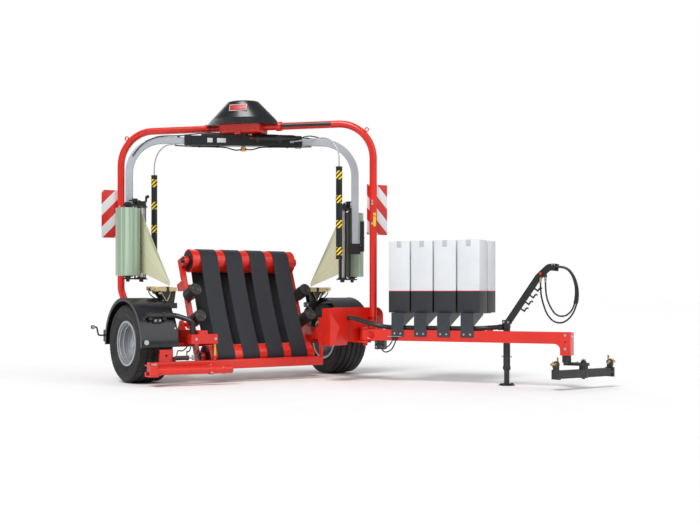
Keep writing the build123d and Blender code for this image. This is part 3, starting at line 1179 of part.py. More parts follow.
with BuildPart(drawbar_frame) as hose_holders:
    base_top = JACK_TOP + RACK_BASE_HEIGHT
    rack_side = RACK_BAR_WALL / 2 + SEAT_GAP
    block([JACK_ALONG + x for x in RACK_BASE_X], (jack_y - RACK_BASE_HALF, jack_y + RACK_BASE_HALF),
          (JACK_TOP + SEAT_GAP, base_top))
    block((JACK_ALONG - 2 * RACK_BASE_HALF, JACK_ALONG + 2 * RACK_BASE_HALF),
          (jack_y - rack_side, jack_y + rack_side), (JACK_TOP - 1, base_top + 1), mode=Mode.SUBTRACT)
    for reach, zs in ((HOSE_CLIP_X, HOSE_CLIP_Z), (COUPLING_BLOCK_X, COUPLING_BLOCK_Z)):
        xs = [JACK_ALONG + x for x in reach]
        for side in (1, -1):
            ys = sorted((jack_y + side * rack_side, jack_y + side * (HOSE_OFFSET + CLIP_MARGIN)))
            block(xs, ys, zs)
finish(hose_holders, "hose_holders")

with BuildPart(drawbar_frame) as couplings:
    for side, route in ((-1, HOSE_OUTER), (1, HOSE_INNER)):
        end_x, end_z = route[-1]
        post(JACK_ALONG + end_x, jack_y + side * HOSE_OFFSET, COUPLING_RADIUS, end_z,
             COUPLING_BLOCK_Z[0] - SEAT_GAP)
finish(couplings, "hose_couplings")

for name, side, route in (("outer", -1, HOSE_OUTER), ("inner", 1, HOSE_INNER)):
    points = [Vector(x, z) for x, z in route]
    radii = []
    for before, corner, after in zip(points, points[1:], points[2:]):
        shorter = min((corner - before).length, (after - corner).length)
        turn = math.radians((corner - before).get_angle(after - corner))
        radii.append(0.45 * shorter / math.tan(turn / 2))
    hose_y = jack_y + side * HOSE_OFFSET
    placed = [tuple(drawbar_frame.from_local_coords(Vector(JACK_ALONG + x, hose_y, z))) for x, z in route]
    with BuildPart() as hose:
        with BuildLine() as hose_path:
            FilletPolyline(*placed, radius=radii)
        with BuildSketch(Plane(origin=hose_path.line @ 0, z_dir=hose_path.line % 0)):
            Circle(HOSE_RADIUS)
        sweep(path=hose_path.line)
    finish(hose, f"hose_loop_{name}")
    print(f"hose {name}: length {hose_path.wire().length:.0f}, radii", [round(r) for r in radii])

# Footprint's middle to the origin, then one file for each piece
extent = Compound(children=[piece.moved(Location((0, 0, 0))) for piece in pieces]).bounding_box()
shift = Location((-(extent.min.X + extent.max.X) / 2, -(extent.min.Y + extent.max.Y) / 2, -extent.min.Z))
for piece in pieces:
    placed = piece.moved(shift)
    placed.label = piece.label
    export_step(placed, f"parts/{piece.label}.step")
print("origin moved by", tuple(round(value, 2) for value in shift.position), "nodes", len(pieces))
print("size", tuple(round(value) for value in extent.size))
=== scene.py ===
"""Looks of a trailed twin-satellite round-bale wrapper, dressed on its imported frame."""

import logging
import math
from collections.abc import Callable, Sequence
from dataclasses import dataclass
from enum import Enum

import bmesh
import bpy
from mathutils import Matrix, Vector


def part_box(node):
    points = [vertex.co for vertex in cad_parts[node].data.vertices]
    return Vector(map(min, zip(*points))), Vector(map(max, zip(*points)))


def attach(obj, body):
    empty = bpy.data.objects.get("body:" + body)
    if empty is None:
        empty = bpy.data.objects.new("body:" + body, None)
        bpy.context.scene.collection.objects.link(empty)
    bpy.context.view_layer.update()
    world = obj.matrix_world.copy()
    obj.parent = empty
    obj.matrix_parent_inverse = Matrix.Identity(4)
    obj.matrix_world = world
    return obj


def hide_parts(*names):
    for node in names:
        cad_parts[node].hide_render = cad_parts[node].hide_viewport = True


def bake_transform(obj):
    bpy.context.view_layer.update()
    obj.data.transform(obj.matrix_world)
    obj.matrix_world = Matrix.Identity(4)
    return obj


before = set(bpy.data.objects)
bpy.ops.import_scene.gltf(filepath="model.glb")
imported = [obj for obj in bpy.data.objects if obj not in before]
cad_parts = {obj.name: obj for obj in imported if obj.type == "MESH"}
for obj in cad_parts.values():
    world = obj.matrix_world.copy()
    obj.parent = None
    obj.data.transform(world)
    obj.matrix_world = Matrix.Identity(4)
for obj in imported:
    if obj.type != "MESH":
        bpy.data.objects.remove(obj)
log = logging.getLogger("bale_wrapper")

Colour = tuple[float, float, float]
Point = tuple[float, float, float]
Pair = tuple[float, float]
Pairs = tuple[Pair, ...]
Route = tuple[Point, ...]
Numbers = tuple[float, ...]

# Directions and signs
ORIGIN = (0, 0, 0)
UP = (0, 0, 1)
DOWN = (0, 0, -1)
AHEAD = (1, 0, 0)
BACK = (-1, 0, 0)
LEFTWARDS = (0, 1, 0)
RIGHTWARDS = (0, -1, 0)
SIGNS = (1, -1)

# Sharpest edge left unrounded, in radians; merging distance and wall of a patch, in metres; step of a
# patch's turn, in degrees
SHARP_EDGE = 0.6
MERGE_DISTANCE = 1e-5
PATCH_WALL = 0.0006
PATCH_STEP = 9.0

# Sockets of a Mix node that carry its share and its colours, and the one that gives the mixed colour
MIX_INPUTS = (0, 6, 7)
MIX_RESULT = 2

# A washer's rise and spread, a bolt head's foot, top and bevel, as shares of the head's radius
WASHER_RISE = 0.25
WASHER_SPREAD = 1.35
HEAD_FOOT = 0.2
HEAD_TOP = 0.95
HEAD_BEVEL = 0.12

# Jack beside the drawbar, in the drawbar's frame
JACK = (1.595, 0.0985)

# Colours of dust
ROAD_DUST = (0.36, 0.33, 0.29)
GREY_DUST = (0.2, 0.19, 0.175)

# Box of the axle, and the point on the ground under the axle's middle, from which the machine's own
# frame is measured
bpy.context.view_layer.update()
AXLE_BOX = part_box("axle")
MACHINE = Vector(((AXLE_BOX[0][0] + AXLE_BOX[1][0]) / 2, (AXLE_BOX[0][1] + AXLE_BOX[1][1]) / 2, 0.0))


class Side(Enum):
    """The two sides of the machine, as the sign of Y."""

    LEFT = 1
    RIGHT = -1

    @property
    def word(self) -> str:
        """The side's name in the nodes."""
        return self.name.lower()


class Frame:
    """Frames of the sub-assemblies, from their own axes to the machine's."""

    MACHINE = Matrix.Identity(4)
    ARCH = Matrix.Rotation(math.radians(40.9), 4, "Z")
    TABLE = Matrix.Translation((-0.075, 0.0, 1.328)) @ Matrix.Rotation(math.radians(69.0), 4, "Y")
    DRAWBAR = Matrix.Translation((1.20039, 0.86044, 0.0)) @ Matrix.Rotation(math.radians(28.5), 4, "Z")

    @staticmethod
    def satellite(side: Side) -> Matrix:
        """Frame of one satellite, with X outwards along the beam."""
        return Matrix.Rotation(math.radians(61.5 if side is Side.LEFT else 241.5), 4, "Z")

    @staticmethod
    def wheel(side: Side) -> Matrix:
        """Frame of one wheel, with Z outwards along the stub axle."""
        turn = Matrix.Rotation(math.radians(-90.0 * side.value), 4, "X")
        return Matrix.Translation((0.0, side.value * 1.27, 0.425)) @ turn


def shaded(colour: Colour, factor: float) -> Colour:
    """A colour made lighter or darker by a factor."""
    return tuple(min(1.0, channel * factor) for channel in colour)


def operation(name: str, swapped: bool = False) -> Callable[..., "Shade"]:
    """Makes a method that adds one Math node to a shader value.

    Args:
        name: Operation of the node.
        swapped: Whether the other value comes first.

    Returns:
        The method.
    """
    def apply(self: "Shade", other: object = None) -> "Shade":
        """Adds the node and gives its result."""
        node = self.tree.nodes.new("ShaderNodeMath")
        node.operation = name
        for socket, value in zip(node.inputs, (other, self) if swapped else (self, other)):
            if isinstance(value, Shade):
                self.tree.links.new(value.socket, socket)
            elif value is not None:
                socket.default_value = value
        return Shade(self.tree, node.outputs[0])
    return apply


class Shade:
    """A shader value that takes part in plain arithmetic."""

    def __init__(self, tree: bpy.types.NodeTree, socket: bpy.types.NodeSocket) -> None:
        """Wraps one output socket.

        Args:
            tree: Node tree that the socket belongs to.
            socket: Output socket that gives the value.
        """
        self.tree = tree
        self.socket = socket

    __add__ = __radd__ = operation("ADD")
    __sub__ = operation("SUBTRACT")
    __rsub__ = operation("SUBTRACT", swapped=True)
    __mul__ = __rmul__ = operation("MULTIPLY")
    over = operation("GREATER_THAN")
    under = operation("LESS_THAN")
    fract = operation("FRACT")
    sine = operation("SINE")


class Recipe:
    """One material while its nodes are put together."""

    def __init__(self, name: str) -> None:
        """Starts a material with a Principled shader.

        Args:
            name: Name of the material.
        """
        self.material = bpy.data.materials.new(name)
        self.material.use_nodes = True
        self.tree = self.material.node_tree
        self.shader = self.tree.nodes["Principled BSDF"]

    def node(self, kind: str, settings: dict | None = None, inputs: dict | None = None) -> bpy.types.Node:
        """Adds one node.

        Args:
            kind: Type of the node.
            settings: Properties of the node, set first.
            inputs: Values or links of its sockets.

        Returns:
            The new node.
        """
        made = self.tree.nodes.new(kind)
        for key, value in (settings or {}).items():
            setattr(made, key, value)
        for key, value in (inputs or {}).items():
            self.feed(made.inputs[key], value)
        return made

    def feed(self, socket: bpy.types.NodeSocket, value: object) -> None:
        """Links or sets one socket.

        Args:
            socket: Input socket.
            value: A Shade, a socket or a plain value.
        """
        if isinstance(value, Shade):
            value = value.socket
        if isinstance(value, bpy.types.NodeSocket):
            self.tree.links.new(value, socket)
        elif isinstance(value, tuple) and socket.type == "RGBA" and len(value) == 3:
            socket.default_value = (*value, 1.0)
        else:
            socket.default_value = value

    def place(self, scale: Point = (1.0, 1.0, 1.0), turn: Point = (0.0, 0.0, 0.0)) -> bpy.types.NodeSocket:
        """Object coordinates, scaled and turned.

        Args:
            scale: Scale of each axis.
            turn: Turn about each axis, in degrees.

        Returns:
            The vector's socket.
        """
        source = self.node("ShaderNodeTexCoord").outputs["Object"]
        turned = tuple(math.radians(angle) for angle in turn)
        mapped = self.node("ShaderNodeMapping", {}, {"Vector": source, "Rotation": turned, "Scale": scale})
        return mapped.outputs["Vector"]

    def spread(self, layer: str, scale: Point = (1.0, 1.0, 1.0)) -> bpy.types.NodeSocket:
        """Coordinates of the piece's own UV map, scaled.

        Args:
            layer: Name of the UV map.
            scale: Scale of each axis.

        Returns:
            The vector's socket.
        """
        source = self.node("ShaderNodeUVMap", {"uv_map": layer}).outputs["UV"]
        return self.node("ShaderNodeMapping", {}, {"Vector": source, "Scale": scale}).outputs["Vector"]

    def axes(self, vector: bpy.types.NodeSocket) -> tuple[Shade, Shade, Shade]:
        """Splits a vector into its three numbers."""
        split = self.node("ShaderNodeSeparateXYZ", {}, {"Vector": vector})
        return tuple(Shade(self.tree, socket) for socket in split.outputs)

    def noise(self, vector: bpy.types.NodeSocket, scale: float, detail: float = 3.0) -> Shade:
        """Noise between nought and one.

        Args:
            vector: Coordinates.
            scale: Scale of the noise.
            detail: Octaves of the noise.

        Returns:
            The noise.
        """
        made = self.node("ShaderNodeTexNoise", {}, {"Vector": vector, "Scale": scale, "Detail": detail})
        return Shade(self.tree, made.outputs["Fac"])

    def ramp(self, value: Shade, low: float, high: float) -> Shade:
        """Smooth step from nought at low to one at high."""
        made = self.node("ShaderNodeMapRange", {"interpolation_type": "SMOOTHSTEP"},
                         {"Value": value, "From Min": low, "From Max": high})
        return Shade(self.tree, made.outputs["Result"])

    def blend(self, share: object, first: object, second: object) -> bpy.types.NodeSocket:
        """Mixes two colours.

        Args:
            share: Share of the second colour.
            first: Colour or socket.
            second: Colour or socket.

        Returns:
            The mixed colour's socket.
        """
        made = self.node("ShaderNodeMix", {"data_type": "RGBA"})
        for index, value in zip(MIX_INPUTS, (share, first, second)):
            self.feed(made.inputs[index], value)
        return made.outputs[MIX_RESULT]

    def bump(self, height: Shade, depth: float) -> None:
        """Feeds the shader's normal from a height.

        Args:
            height: Height, from nought to one.
            depth: Depth of the relief, in metres.
        """
        made = self.node("ShaderNodeBump", {}, {"Height": height, "Distance": depth, "Strength": 1.0})
        self.feed(self.shader.inputs["Normal"], made.outputs["Normal"])

    def set(self, **values: object) -> None:
        """Sets sockets of the shader; an underscore stands for a space."""
        for key, value in values.items():
            self.feed(self.shader.inputs[key.replace("_", " ")], value)


@dataclass(frozen=True)
class Paint:
    """Sprayed enamel with slight orange peel and dust."""

    name: str
    colour: Colour
    roughness: float = 0.32
    coat: float = 0.35
    dust: float = 0.12
    metallic: float = 0.0

    def build(self) -> bpy.types.Material:
        """Makes the material."""
        recipe = Recipe(self.name)
        place = recipe.place()
        cloud = recipe.noise(place, 2.3, 4.0)
        grain = recipe.noise(place, 45.0, 4.0)
        height = recipe.axes(place)[2]
        low = 1.0 - recipe.ramp(height, 0.05, 1.1)
        dust = recipe.ramp(grain + low * 0.25, 0.5, 0.95) * self.dust
        body = recipe.blend(recipe.ramp(cloud, 0.3, 0.7), shaded(self.colour, 0.86), self.colour)
        recipe.set(Base_Color=recipe.blend(dust, body, ROAD_DUST), Metallic=self.metallic,
                   Roughness=grain * 0.14 + (self.roughness - 0.06),
                   Coat_Weight=self.coat, Coat_Roughness=0.12)
        recipe.bump(recipe.noise(place, 140.0, 2.0), 0.00006)
        return recipe.material


@dataclass(frozen=True)
class Moulded:
    """Moulded plastic or rubber with a fine grain."""

    name: str
    colour: Colour
    roughness: float = 0.4
    grain: float = 0.0003
    scale: float = 300.0
    dust: float = 0.15

    def build(self) -> bpy.types.Material:
        """Makes the material."""
        recipe = Recipe(self.name)
        place = recipe.place()
        cloud = recipe.noise(place, 6.0, 5.0)
        film = recipe.ramp(cloud, 0.35, 0.75) * self.dust
        recipe.set(Base_Color=recipe.blend(film, self.colour, GREY_DUST),
                   Roughness=cloud * 0.2 + (self.roughness - 0.1))
        recipe.bump(recipe.noise(place, self.scale, 3.0), self.grain)
        return recipe.material


@dataclass(frozen=True)
class Metal:
    """Plated or bare metal with fine scratches."""

    name: str
    colour: Colour
    roughness: float = 0.3
    stain: Colour = (0.25, 0.2, 0.13)

    def build(self) -> bpy.types.Material:
        """Makes the material."""
        recipe = Recipe(self.name)
        place = recipe.place()
        streak = recipe.noise(recipe.place((4.0, 4.0, 60.0)), 6.0, 4.0)
        cloud = recipe.noise(place, 14.0, 4.0)
        stain = recipe.ramp(cloud, 0.5, 0.85) * 0.35
        recipe.set(Base_Color=recipe.blend(stain, self.colour, self.stain), Metallic=1.0,
                   Roughness=streak * 0.2 + (self.roughness - 0.1))
        recipe.bump(streak, 0.0001)
        return recipe.material


@dataclass(frozen=True)
class Belting:
    """Rubber belt with a fine woven top."""

    name: str

    def build(self) -> bpy.types.Material:
        """Makes the material."""
        recipe = Recipe(self.name)
        place = recipe.place()
        x, y, z = recipe.axes(place)
        weave = ((y * 900.0).sine() + ((z - x * 0.4) * 900.0).sine()) * 0.25 + 0.5
        cloud = recipe.noise(place, 5.0, 5.0)
        worn = recipe.ramp(cloud, 0.4, 0.8) * 0.3
        recipe.set(Base_Color=recipe.blend(worn, (0.012, 0.014, 0.020), (0.024, 0.027, 0.036)),
                   Roughness=cloud * 0.2 + 0.45)
        recipe.bump(weave, 0.0006)
        return recipe.material


@dataclass(frozen=True)
class WoundFilm:
    """Stretch film wound on a roll, with painted highlight streaks running down its height."""

    name: str
    colour: Colour

    def build(self) -> bpy.types.Material:
        """Makes the material."""
        recipe = Recipe(self.name)
        place = recipe.place()
        # Noise stretched along the roll's axis gives streaks down its height; they paint highlight streaks
        # into the colour and also bump the surface.
        highlight_streaks = recipe.noise(recipe.place((20.0, 20.0, 0.35)), 1.4, 3.0)
        gloss = recipe.noise(place, 9.0, 3.0)
        # Painted highlight: layers holds the film's colour, blended on the streaks towards a copy 1.6 times
        # lighter.
        layers = recipe.blend(recipe.ramp(highlight_streaks, 0.38, 0.66), self.colour, shaded(self.colour, 1.6))
        recipe.set(Base_Color=layers, Roughness=gloss * 0.15 + 0.16, Coat_Weight=0.4, Coat_Roughness=0.08)
        recipe.bump(highlight_streaks, 0.0006)
        return recipe.material


@dataclass(frozen=True)
class DrawnFilm:
    """Film drawn tight, half see-through, with lengthwise creases and one gathered edge."""

    name: str
    colour: Colour
    edge: Colour
    layer: str = "film"

    def build(self) -> bpy.types.Material:
        """Makes the material."""
        recipe = Recipe(self.name)
        creases = recipe.noise(recipe.spread(self.layer, (0.4, 16.0, 1.0)), 1.0, 3.0)
        along, across = recipe.axes(recipe.spread(self.layer))[:2]
        body = recipe.blend(creases, self.colour, shaded(self.colour, 1.08))
        gathered = recipe.ramp(across, 0.74, 0.93) * recipe.ramp(along, 0.05, 0.55)
        recipe.set(Base_Color=recipe.blend(gathered * 0.75, body, self.edge), Roughness=creases * 0.15 + 0.2,
                   Alpha=recipe.ramp(creases, 0.25, 0.75) * 0.08 + gathered * 0.06 + 0.84)
        recipe.bump(creases, 0.0006)
        return recipe.material


@dataclass(frozen=True)
class Stripes:
    """Slanting bands of two colours, as on warning sheet."""

    name: str
    first: Colour
    second: Colour
    slope: Point
    pitch: float
    shift: float = 0.0
    roughness: float = 0.35

    def build(self) -> bpy.types.Material:
        """Makes the material."""
        recipe = Recipe(self.name)
        place = recipe.place()
        x, y, z = recipe.axes(place)
        steps = (x * self.slope[0] + y * self.slope[1] + z * self.slope[2]) * (1.0 / self.pitch)
        band = (steps + self.shift).fract().over(0.5)
        grain = recipe.noise(place, 30.0, 4.0)
        cells = recipe.node("ShaderNodeTexVoronoi", {}, {"Vector": place, "Scale": 420.0})
        colour = recipe.blend(band, self.first, self.second)
        recipe.set(Base_Color=recipe.blend(recipe.ramp(grain, 0.5, 0.9) * 0.18, colour, (0.3, 0.28, 0.25)),
                   Roughness=grain * 0.2 + (self.roughness - 0.1))
        recipe.bump(Shade(recipe.tree, cells.outputs["Distance"]), 0.0002)
        return recipe.material


@dataclass(frozen=True)
class CartonBoard:
    """Printed board: a pale upper part over a dark foot with a thin red line between."""

    name: str
    foot: float
    line: float

    def build(self) -> bpy.types.Material:
        """Makes the material."""
        recipe = Recipe(self.name)
        place = recipe.place()
        height = recipe.axes(place)[2]
        fibre = recipe.noise(recipe.place((90.0, 90.0, 14.0)), 3.0, 4.0)
        cloud = recipe.noise(place, 5.0, 4.0)
        pale = recipe.blend(cloud, (0.62, 0.65, 0.68), (0.74, 0.76, 0.78))
        dark = recipe.blend(cloud, (0.016, 0.018, 0.022), (0.026, 0.029, 0.035))
        ground = recipe.blend(height.under(self.foot), pale, dark)
        band = height.under(self.foot + self.line) * height.over(self.foot)
        recipe.set(Base_Color=recipe.blend(band, ground, (0.55, 0.03, 0.03)), Roughness=fibre * 0.2 + 0.42)
        recipe.bump(fibre, 0.0003)
        return recipe.material


@dataclass(frozen=True)
class Lens:
    """Moulded lamp lens with fine ribs."""

    name: str
    colour: Colour

    def build(self) -> bpy.types.Material:
        """Makes the material."""
        recipe = Recipe(self.name)
        place = recipe.place()
        ribs = (recipe.axes(place)[2] * 1200.0).sine() * 0.5 + 0.5
        body = recipe.blend(ribs, shaded(self.colour, 0.6), self.colour)
        recipe.set(Base_Color=body, Roughness=ribs * 0.08 + 0.1, Coat_Weight=0.6, Coat_Roughness=0.05)
        recipe.bump(ribs, 0.0008)
        return recipe.material


@dataclass(frozen=True)
class TyreRubber:
    """Dark rubber with a dusty tread."""

    name: str

    def build(self) -> bpy.types.Material:
        """Makes the material."""
        recipe = Recipe(self.name)
        place = recipe.place()
        cloud = recipe.noise(place, 7.0, 6.0)
        grit = recipe.noise(place, 90.0, 4.0)
        dusty = recipe.ramp(cloud + grit * 0.3, 0.5, 0.95) * 0.3
        recipe.set(Base_Color=recipe.blend(dusty, (0.009, 0.009, 0.010), (0.07, 0.067, 0.062)),
                   Roughness=grit * 0.2 + 0.55)
        recipe.bump(grit, 0.0008)
        return recipe.material


class Finishes:
    """Every finish of the machine, made once."""

    def __init__(self) -> None:
        """Builds the materials by name."""
        board = ((0.62, 0.02, 0.015), (0.74, 0.75, 0.76))
        kinds = (
            Paint("red_enamel", (0.71, 0.014, 0.004), roughness=0.3, coat=0.25, dust=0.02),
            Paint("black_enamel", (0.009, 0.010, 0.012), roughness=0.32, coat=0.12, dust=0.05),
            Paint("slate_enamel", (0.026, 0.032, 0.042), roughness=0.38, coat=0.12, dust=0.05),
            Paint("silver_enamel", (0.5, 0.53, 0.58), roughness=0.34, coat=0.3, metallic=0.3),
            Paint("wheel_silver", (0.42, 0.44, 0.47), roughness=0.34, coat=0.3, dust=0.15, metallic=0.45),
            Paint("yellow_enamel", (0.8, 0.58, 0.02), roughness=0.4, coat=0.2),
            Paint("white_sticker", (0.6, 0.61, 0.6), roughness=0.4, coat=0.15, dust=0.2),
            Moulded("black_gloss_plastic", (0.007, 0.008, 0.011), roughness=0.28, grain=0.00006, dust=0.02),
            Moulded("guard_plastic", (0.008, 0.009, 0.014), roughness=0.2, grain=0.00006, dust=0.03),
            Moulded("black_matt_plastic", (0.014, 0.015, 0.017), roughness=0.48, dust=0.08),
            Moulded("roller_rubber", (0.008, 0.008, 0.009), roughness=0.38, dust=0.06),
            Moulded("hose_rubber", (0.006, 0.006, 0.007), roughness=0.36, grain=0.0004, scale=500, dust=0.05),
            Moulded("red_cap_plastic", (0.5, 0.02, 0.02), roughness=0.35, dust=0.1),
            Moulded("core_board", (0.36, 0.28, 0.18), roughness=0.75, scale=160.0),
            Metal("zinc_plate", (0.55, 0.55, 0.53), roughness=0.34),
            Metal("yellow_zinc", (0.62, 0.47, 0.22), roughness=0.34, stain=(0.4, 0.3, 0.2)),
            Metal("brass_body", (0.66, 0.45, 0.17), roughness=0.3),
            Belting("table_belting"),
            WoundFilm("pale_green_roll", (0.27, 0.35, 0.26)),
            DrawnFilm("cream_film", (0.66, 0.66, 0.46), (0.3, 0.31, 0.17)),
            Stripes("bar_stripes", (0.012, 0.012, 0.013), (0.85, 0.62, 0.02), (-0.406, -0.579, 0.707), 0.034),
            Stripes("board_stripes", *board, (0.0, 0.707, 0.707), 0.19, 0.426),
            Stripes("board_stripes_mirrored", *board, (0.0, -0.707, 0.707), 0.19, 0.351),
            CartonBoard("carton_print", 0.985, 0.008),
            Moulded("carton_tape", (0.5, 0.52, 0.54), roughness=0.3, grain=0.0001, dust=0.05),
            Lens("red_lens", (0.42, 0.012, 0.01)),
            Lens("amber_lens", (0.62, 0.2, 0.015)),
            Lens("clear_lens", (0.6, 0.62, 0.63)),
            TyreRubber("tyre_rubber"),
        )
        self.named = {kind.name: kind.build() for kind in kinds}

    def __getitem__(self, name: str) -> bpy.types.Material:
        """Material of a name."""
        return self.named[name]


class Shape:
    """A mesh under construction, in metres in the machine's frame."""

    def __init__(self, place: Matrix = Frame.MACHINE) -> None:
        """Starts an empty mesh.

        Args:
            place: Frame that the sizes are given in.
        """
        self.mesh = bmesh.new()
        self.place = place

    def _since(self, before: set) -> list:
        """Faces that came after a set of earlier ones."""
        return [face for face in self.mesh.faces if face not in before]

    def _paint(self, faces: list, paint: int) -> None:
        """Gives faces the finish of an index.

        Args:
            faces: Faces to paint.
            paint: Index of the finish.
        """
        for face in faces:
            face.material_index = paint

    def _close(self, verts: list, paint: int, bevel: float) -> None:
        """Paints new faces and rounds their sharp edges.

        Args:
            verts: New vertices.
            paint: Index of the finish.
            bevel: Width of the rounding, or nought.
        """
        faces = {face for vert in verts for face in vert.link_faces}
        self._paint(faces, paint)
        if bevel:
            edges = {edge for face in faces for edge in face.edges if edge.calc_face_angle(0.0) > SHARP_EDGE}
            bmesh.ops.bevel(self.mesh, geom=list(edges), offset=bevel, segments=2, profile=0.5,
                            affect="EDGES", material=-1, clamp_overlap=True)

    def box(self, corner: Point, other: Point, paint: int = 0, bevel: float = 0.003,
            local: Matrix | None = None) -> None:
        """Adds a box between two opposite corners, in any order.

        Args:
            corner: One corner.
            other: The opposite corner.
            paint: Index of the finish.
            bevel: Width of the edge rounding.
            local: Frame inside the shape's own, where there is one.
        """
        low, high = (Vector(tuple(map(pick, corner, other))) for pick in (min, max))
        size = high - low
        middle = Matrix.Translation((low + high) / 2)
        matrix = self.place @ (local or Frame.MACHINE) @ middle @ Matrix.Diagonal((*size, 1.0))
        made = bmesh.ops.create_cube(self.mesh, size=1.0, matrix=matrix)
        self._close(made["verts"], paint, min(bevel, min(size) * 0.3))

    def rod(self, start: Point, end: Point, radius: float, paint: int = 0, sides: int = 24,
            bevel: float = 0.0) -> None:
        """Adds a round or many-sided rod.

        Args:
            start: Middle of its first end.
            end: Middle of its last end.
            radius: Radius of the rod.
            paint: Index of the finish.
            sides: Number of sides.
            bevel: Width of the edge rounding.
        """
        first, last = self.place @ Vector(start), self.place @ Vector(end)
        run = last - first
        matrix = Matrix.Translation((first + last) / 2) @ run.to_track_quat("Z", "Y").to_matrix().to_4x4()
        made = bmesh.ops.create_cone(self.mesh, cap_ends=True, segments=sides, radius1=radius, radius2=radius,
                                     depth=run.length, matrix=matrix)
        self._close(made["verts"], paint, bevel)

    def turned(self, profile: Sequence[Pair], start: Point, towards: Point, paint: int = 0,
               steps: int = 48) -> None:
        """Turns a profile about an axis.

        Args:
            profile: Pairs of radius and distance along the axis.
            start: Point on the axis.
            towards: Direction of the axis.
            paint: Index of the finish.
            steps: Steps of the turn.
        """
        centre = self.place @ Vector(start)
        axis = (self.place.to_3x3() @ Vector(towards)).normalized()
        across = axis.orthogonal().normalized()
        verts = [self.mesh.verts.new(centre + across * radius + axis * along) for radius, along in profile]
        edges = [self.mesh.edges.new(pair) for pair in zip(verts, verts[1:])]
        before = set(self.mesh.faces)
        bmesh.ops.spin(self.mesh, geom=verts + edges, cent=centre, axis=axis, angle=math.tau, steps=steps,
                       use_merge=True)
        around = {vert for face in self._since(before) for vert in face.verts}
        bmesh.ops.remove_doubles(self.mesh, verts=list(around), dist=MERGE_DISTANCE)
        self._paint(self._since(before), paint)

    def collar(self, inner: float, outer: float, low: float, high: float, start: Point, towards: Point,
               paint: int = 0, steps: int = 48) -> None:
        """Adds a square-edged ring, or a disc where its inner radius is nought.

        Args:
            inner: Inner radius.
            outer: Outer radius.
            low: Where it starts along the axis.
            high: Where it ends along the axis.
            start: Point on the axis.
            towards: Direction of the axis.
            paint: Index of the finish.
            steps: Steps of the turn.
        """
        profile = [(inner, low), (outer, low), (outer, high), (inner, high)]
        self.turned(profile, start, towards, paint, steps)

    def band(self, inner: float, outer: float, foot: float, crest: float, start: Point, towards: Point,
             paint: int = 0, steps: int = 48) -> None:
        """Adds a ring whose sides lean in.

        Args:
            inner: Inner radius.
            outer: Outer radius.
            foot: Half its width at the inner radius.
            crest: Half its width at the outer radius.
            start: Its middle on the axis.
            towards: Direction of the axis.
            paint: Index of the finish.
            steps: Steps of the turn.
        """
        profile = [(inner, -foot), (outer, -crest), (outer, crest), (inner, foot)]
        self.turned(profile, start, towards, paint, steps)

    def patch(self, start: Point, end: Point, radius: float, facing: Point, spread: float,
              paint: int = 0) -> None:
        """Adds a thin sheet that lies on a round tube.

        Args:
            start: Point on the tube's axis where the sheet starts.
            end: Point on the tube's axis where it ends.
            radius: Radius of the sheet.
            facing: Direction that its middle faces.
            spread: Angle that it covers, in degrees.
            paint: Index of the finish.
        """
        first, last = self.place @ Vector(start), self.place @ Vector(end)
        axis = (last - first).normalized()
        outwards = self.place.to_3x3() @ Vector(facing)
        outwards = (outwards - axis * outwards.dot(axis)).normalized()
        outwards.rotate(Matrix.Rotation(math.radians(-spread / 2), 3, axis))
        before = set(self.mesh.faces)
        inside = radius - PATCH_WALL
        corners = ((first, radius), (last, radius), (last, inside), (first, inside))
        verts = [self.mesh.verts.new(point + outwards * reach) for point, reach in corners]
        edges = [self.mesh.edges.new(pair) for pair in zip(verts, [*verts[1:], verts[0]])]
        bmesh.ops.spin(self.mesh, geom=verts + edges, cent=first, axis=axis, angle=math.radians(spread),
                       steps=max(3, round(spread / PATCH_STEP)), use_merge=False)
        rims = {edge for face in self._since(before) for edge in face.edges if edge.is_boundary}
        bmesh.ops.holes_fill(self.mesh, edges=list(rims), sides=4)
        self._paint(self._since(before), paint)

    def bolt(self, at: Point, towards: Point, size: float, paint: int) -> None:
        """Adds a washer and a hexagon head.

        Args:
            at: Point on the surface.
            towards: Direction out of the surface.
            size: Radius of the head.
            paint: Index of the finish.
        """
        base, out = Vector(at), Vector(towards).normalized()
        self.rod(base - out * 0.001, base + out * size * WASHER_RISE, size * WASHER_SPREAD, paint, 20)
        foot, top = base + out * size * HEAD_FOOT, base + out * size * HEAD_TOP
        self.rod(foot, top, size, paint, 6, bevel=size * HEAD_BEVEL)

    def pipe(self, points: Sequence[Point], radius: float, paint: int) -> None:
        """Adds a round tube along a smooth line.

        Args:
            points: Control points of the line.
            radius: Radius of the tube.
            paint: Index of the finish.
        """
        curve = smooth_line("pipe_line", [self.place @ Vector(point) for point in points], radius, 3, 6)
        holder = bpy.data.objects.new("pipe_line", curve)
        bpy.context.scene.collection.objects.link(holder)
        tube = bpy.data.meshes.new_from_object(holder)
        before = set(self.mesh.faces)
        self.mesh.from_mesh(tube)
        bpy.data.objects.remove(holder)
        bpy.data.meshes.remove(tube)
        self._paint(self._since(before), paint)


def smooth_line(name: str, points: list[Vector], radius: float, rounds: int, steps: int) -> bpy.types.Curve:
    """Makes a round tube's smooth open line through control points.

    Args:
        name: Name of the curve.
        points: Control points.
        radius: Radius of the tube.
        rounds: Fineness round the tube.
        steps: Fineness along the tube.

    Returns:
        The curve.
    """
    curve = bpy.data.curves.new(name, "CURVE")
    curve.dimensions = "3D"
    spline = curve.splines.new("NURBS")
    spline.points.add(len(points) - 1)
    for control, point in zip(spline.points, points):
        control.co = (*point, 1.0)
    spline.order_u = 3
    spline.use_endpoint_u = True
    curve.bevel_depth = radius
    curve.bevel_resolution = rounds
    curve.resolution_u = steps
    curve.use_fill_caps = True
    return curve


